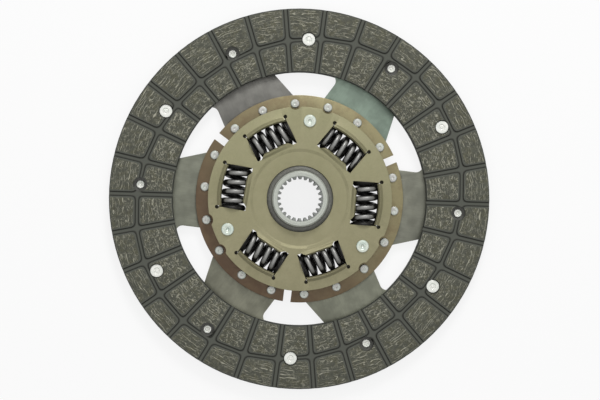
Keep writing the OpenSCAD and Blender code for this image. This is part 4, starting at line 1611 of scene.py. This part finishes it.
@dataclass
class Hub:
    """The splined hub with its flange, in one piece."""

    boss_radius: float = 16.5
    bevel: float = 0.8
    bevel_edge: float = 0.3
    blank_bore: float = 8.0
    teeth: int = 24
    tip_radius: float = 11.5
    root_radius: float = 13.2
    space_width: float = 2.0
    root_width: float = 1.1
    first_space: float = 6.5
    mouth_bevel: float = 0.6
    mouth_margin: float = 0.3
    flange_thickness: float = 4.0
    flange_radius: float = 51.5
    flange_edge: float = 0.2
    window_inner: float = 29.5
    window_outer: float = 47.75
    window_corner: float = 1.9
    window_inner_corner: float = 0.6
    pin_room: float = 3.85
    twist: float = 8.0
    finish: HubFinish = HubFinish()

    def build(self) -> None:
        """Builds and dresses the hub."""
        low, high = span("hub")
        flange_low = LAYOUT.flange_low
        flange_top = flange_low + self.flange_thickness
        boss, bore, flange, edge = self.boss_radius, self.blank_bore, self.flange_radius, self.flange_edge
        piece = Piece.lathe("splined_hub", [
            Corner(bore, low.z), Corner(boss - self.bevel, low.z, edge), Corner(boss, low.z + self.bevel, edge),
            Corner(boss, flange_low), Corner(flange, flange_low, edge), Corner(flange, flange_top, edge),
            Corner(boss, flange_top), Corner(boss, high.z - self.bevel, self.bevel_edge),
            Corner(boss - self.bevel, high.z, self.bevel_edge), Corner(bore, high.z)], 120, 3)
        self._broach(piece, low.z, high.z)
        self._punch(piece, flange_low - 1, flange_top + 1)
        piece.finish(self.finish.build(), Body.HUB, Slot.HUB, "hub", smooth=35)

    def _broach(self, piece: Piece, low: float, high: float) -> None:
        """Cuts the toothed bore and its bevelled mouths."""
        tip, root = self.tip_radius, self.root_radius
        sides = ((tip, -self.space_width), (root, -self.root_width),
                 (root, self.root_width), (tip, self.space_width))
        points = [polar(radius, angle + math.degrees(math.asin(width / 2 / radius)))
                  for angle in around(self.first_space, self.teeth) for radius, width in sides]
        piece.cut(Piece.prism("spline", points, low - 1, high + 1))
        mouth = root + self.mouth_margin
        depth = self.mouth_bevel * mouth / (mouth - tip)
        top = Piece.lathe("mouth", [Corner(0, high - depth), Corner(mouth, high), Corner(mouth + 1, high + 1),
                                    Corner(0, high + 1)], 96, 1)
        bottom = Piece.lathe("rear_mouth", [Corner(0, low - 1), Corner(mouth + 1, low - 1), Corner(mouth, low),
                                            Corner(0, low + depth)], 96, 1)
        piece.cut(top, bottom)

    def _punch(self, piece: Piece, low: float, high: float) -> None:
        """Cuts the spring windows and the notches for the stop pins into the flange."""
        half = LAYOUT.window_length / 2
        corners = [Corner(x, self.window_inner, self.window_inner_corner) for x in (-half, half)]
        corners += [Corner(x, self.window_outer, self.window_corner) for x in (half, -half)]
        window = Piece.prism("flange_window", [Vector((x, y, 0)) for x, y in rounded(corners)], low, high)
        reach = self.twist + math.degrees(math.asin(self.pin_room / LAYOUT.pin_radius))
        inner = LAYOUT.pin_radius - self.pin_room
        points = arc(inner, reach, -reach, 8) + arc(self.flange_radius + 3, -reach, reach, 8)
        notch = Piece.prism("notch", points, low, high)
        piece.cut(window.round_array(LAYOUT.window_turns), notch.round_array(LAYOUT.pin_angles))


@dataclass
class DamperSprings:
    """The six coil springs, with closed ends that are ground flat."""

    circle: float = 38.45
    outer_radius: float = 8.0
    wire: float = 3.5
    turns: float = 5.6
    ground: float = 0.25
    closed_turns: float = 0.75
    closed_pitch: float = 3.64
    # Length at each end of a spring that gets no painted highlight.
    dark_end: float = 0.8
    blend_turns: float = 0.3
    steps_a_turn: int = 30
    phases: tuple[float, ...] = (168.6, 12.6, 326.5, 313.4, 358.2, 1.4)
    keep: float = 0.73

    def __post_init__(self) -> None:
        """Works out the pitch from the length between the windows' ends."""
        self.height = LAYOUT.flange_low + Hub.flange_thickness / 2
        self.length = LAYOUT.window_length - 2 * LAYOUT.running_gap
        self.start = -self.ground * self.wire
        free = self.turns - 2 * self.closed_turns - self.blend_turns
        self.gain = (self.length - 2 * self.start - self.closed_pitch * self.turns) / free

    def build(self) -> None:
        """Builds and dresses the six springs."""
        material = WireFinish(self.height).build()
        for number, (angle, phase) in enumerate(zip(LAYOUT.window_angles, self.phases), 1):
            piece = self._coil(f"coil_{number}", phase)
            piece.move(turned(angle - 90) @ Matrix.Translation((0, self.circle, self.height)))
            thing = piece.finish(material, Body.SPRINGS, Slot.SPRING, f"damper_spring_{number}", smooth=60)
            middle = polar(self.circle, angle, self.height) * MM
            tuple(polar(1.0, angle + 90))
            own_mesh(thing)

    def _eased(self, turns: float) -> float:
        """Returns the turns that count at full pitch, with a smooth start."""
        if turns <= 0:
            return 0.0
        if turns >= self.blend_turns:
            return turns - self.blend_turns / 2
        return turns / 2 - self.blend_turns / math.tau * math.sin(math.pi * turns / self.blend_turns)

    def _rise(self, turns: float) -> float:
        """Returns how far along the spring its wire is after a number of turns."""
        opened = self._eased(turns - self.closed_turns)
        closed = self._eased(turns - self.turns + self.closed_turns + self.blend_turns)
        return self.start + self.closed_pitch * turns + self.gain * (opened - closed)

    def _coil(self, name: str, phase: float) -> Piece:
        """Returns one spring along X, with its middle at the origin.

        Args:
            name: The spring's name.
            phase: The angle at which its wire starts.

        Returns:
            The spring.
        """
        radius = self.outer_radius - self.wire / 2
        count = round(self.steps_a_turn * self.turns)
        points = []
        for index in range(count + 1):
            turns = self.turns * index / count
            around_wire = polar(radius, FULL_TURN * turns + phase)
            points.append(Vector((self._rise(turns) - self.length / 2, around_wire.x, around_wire.y)))
        piece = Piece.wire(name, points, self.wire / 2)
        piece.clean()
        for side in SIDES:
            piece.trim(Vector((side * self.length / 2, 0, 0)), Vector((side, 0, 0)))
        piece.clean()
        # This value places the wire's painted highlight.
        piece.store(PROUD, "FLOAT", "value", self._proud)
        return piece

    def _proud(self, place: Vector) -> float:
        """Returns from 0 to 1 how far a place stands out from the wire's middle, but 0 at the spring's ends."""
        out = Vector((place.y, place.z)).length - self.outer_radius + self.wire / 2
        from_end = self.length / 2 - abs(place.x)
        share = max(0.0, min(1.0, from_end / self.dark_end - 1))
        return share * max(0.0, out / (self.wire / 2))


@dataclass
class FrictionParts:
    """Bushes and washers between the hub and the plates."""

    bush: DarkFinish = DarkFinish("moulded_bush", srgb(98, 98, 92), srgb(116, 116, 110), 0.15, 0.4, 0.01)
    washer: DarkFinish = DarkFinish("friction_washer", srgb(98, 92, 82), srgb(120, 112, 98), 0.0, 0.7)
    steel: BrightFinish = BrightFinish("washer_steel", srgb(170, 170, 164), srgb(150, 150, 146), 0.35, 0.85)
    plate_gap: float = 0.3
    cone_width: float = 1.1
    cone_height: float = 0.8
    edge: float = 0.1

    def build(self) -> None:
        """Dresses the CAD nodes, whose shapes are right, and turns the visible front bush."""
        nodes = frame["nodes"]
        washer, steel, bush = self.washer.build(), self.steel.build(), self.bush.build()
        for name, material in (("rear_friction_washer", washer), ("front_friction_washer", washer),
                               ("thrust_plate", steel), ("cone_spring", steel), ("rear_bush", bush)):
            for place in nodes[name].material_slots:
                place.material = material
        low, high = span("front_bush")
        bore = Hub.boss_radius + LAYOUT.running_gap
        wall = CoverPlate.hole_radius - self.plate_gap
        sunk = CoverPlate.sunk_top() - CoverPlate.thickness
        piece = Piece.lathe("front_collar_bush", [
            Corner(bore, low.z, self.edge), Corner(high.x, low.z, self.edge), Corner(high.x, sunk, self.edge),
            Corner(wall, sunk), Corner(wall, high.z - self.cone_height, 2 * self.edge),
            Corner(wall - self.cone_width, high.z, 5 * self.edge),
            Corner(bore, high.z, 1.5 * self.edge)], 120, 3)
        piece.finish(bush, Body.DISC, Slot.BUSH, "front_bush", smooth=35)


@dataclass(frozen=True)
class Lamp:
    """A square soft lamp that points at the disc, in metres and watts."""

    name: str
    place: tuple[float, float, float]
    size: float
    power: float

    def build(self) -> None:
        """Hangs the lamp."""
        deselect()
        bpy.ops.object.light_add(type="AREA", location=self.place)
        lamp = bpy.context.active_object
        lamp.name = self.name
        lamp.data.shape = "SQUARE"
        lamp.data.size = self.size
        lamp.data.energy = self.power
        lamp.rotation_euler = Vector(self.place).to_track_quat("Z", "Y").to_euler()


@dataclass
class Studio:
    """Floor, lamps, world and camera."""

    distance: float = 1.2
    lens: float = 121.87
    lean: float = 1.6
    aim: tuple[float, float] = (0.2, -0.7)
    world_level: float = 0.3
    floor_size: float = 6.0
    floor_colour: Colour = (0.8, 0.8, 0.8)
    floor_roughness: float = 0.9
    floor_glow: float = 0.82
    lamps: tuple[Lamp, ...] = (Lamp("key_lamp", (0.15, 0.94, 0.8), 0.4, 8.2),
                               Lamp("top_lamp", (0.0, 0.0, 1.7), 2.7, 19.5))

    def build(self) -> None:
        """Builds the studio."""
        self._floor()
        self._world()
        for lamp in self.lamps:
            lamp.build()
        self._camera()
        bpy.context.scene.view_settings.view_transform = "Standard"

    def _floor(self) -> None:
        """Lays a pale floor that looks white to the camera and keeps the object's shadow."""
        deselect()
        bpy.ops.mesh.primitive_plane_add(size=self.floor_size, location=(0, 0, CAD_BOX[0].z))
        floor = bpy.context.active_object
        floor.name = "studio_floor"
        finish = Finish("pale_floor")
        finish.feed(finish.shader.inputs["Base Color"], self.floor_colour)
        finish.feed(finish.shader.inputs["Roughness"], self.floor_roughness)
        glow = finish.out("Emission", {"Color": WHITE, "Strength": 1.0})
        camera, glossy, through = (finish.out("LightPath", {}, f"Is {ray} Ray")
                                   for ray in ("Camera", "Glossy", "Transmission"))
        seen = camera.math("MAXIMUM", glossy).math("MAXIMUM", through)
        lit = Signal(finish, finish.shader.outputs["BSDF"])
        blend = finish.out("MixShader", {0: seen * self.floor_glow, 1: lit, 2: glow})
        finish.feed(finish.output.inputs["Surface"], blend)
        floor.data.materials.append(finish.material)

    def _world(self) -> None:
        """Lights the scene softly from all round, in front of a white background."""
        world = bpy.data.worlds.new("studio_world")
        bpy.context.scene.world = world
        world.use_nodes = True
        graph = Graph(world.node_tree)
        soft, white = (graph.out("Background", {"Color": WHITE, "Strength": level})
                       for level in (self.world_level, 1.0))
        seen = graph.out("LightPath", {}, "Is Camera Ray")
        graph.node("OutputWorld", {"Surface": graph.out("MixShader", {0: seen, 1: soft, 2: white})})

    def _camera(self) -> None:
        """Sets the camera almost straight above the disc."""
        aim = Vector((*self.aim, span("front_facing")[1].z)) * MM
        lean = math.radians(self.lean)
        deselect()
        bpy.ops.object.camera_add(location=aim + Vector((-math.sin(lean), 0, math.cos(lean))) * self.distance)
        camera = bpy.context.active_object
        camera.name = "studio_camera"
        camera.data.lens = self.lens
        camera.rotation_euler = (0, -lean, 0)
        bpy.context.scene.camera = camera


def main() -> None:
    """Builds every piece and the studio."""
    logging.basicConfig(level=logging.INFO, format="%(name)s: %(message)s")
    for part in (Facings(), CushionSegments(), DiscPlate(), CoverPlate(), FacingRivets(), RingRivets(),
                 StopPins(), Hub(), DamperSprings(), FrictionParts(), Studio()):
        part.build()


if __name__ == "__main__":
    main()
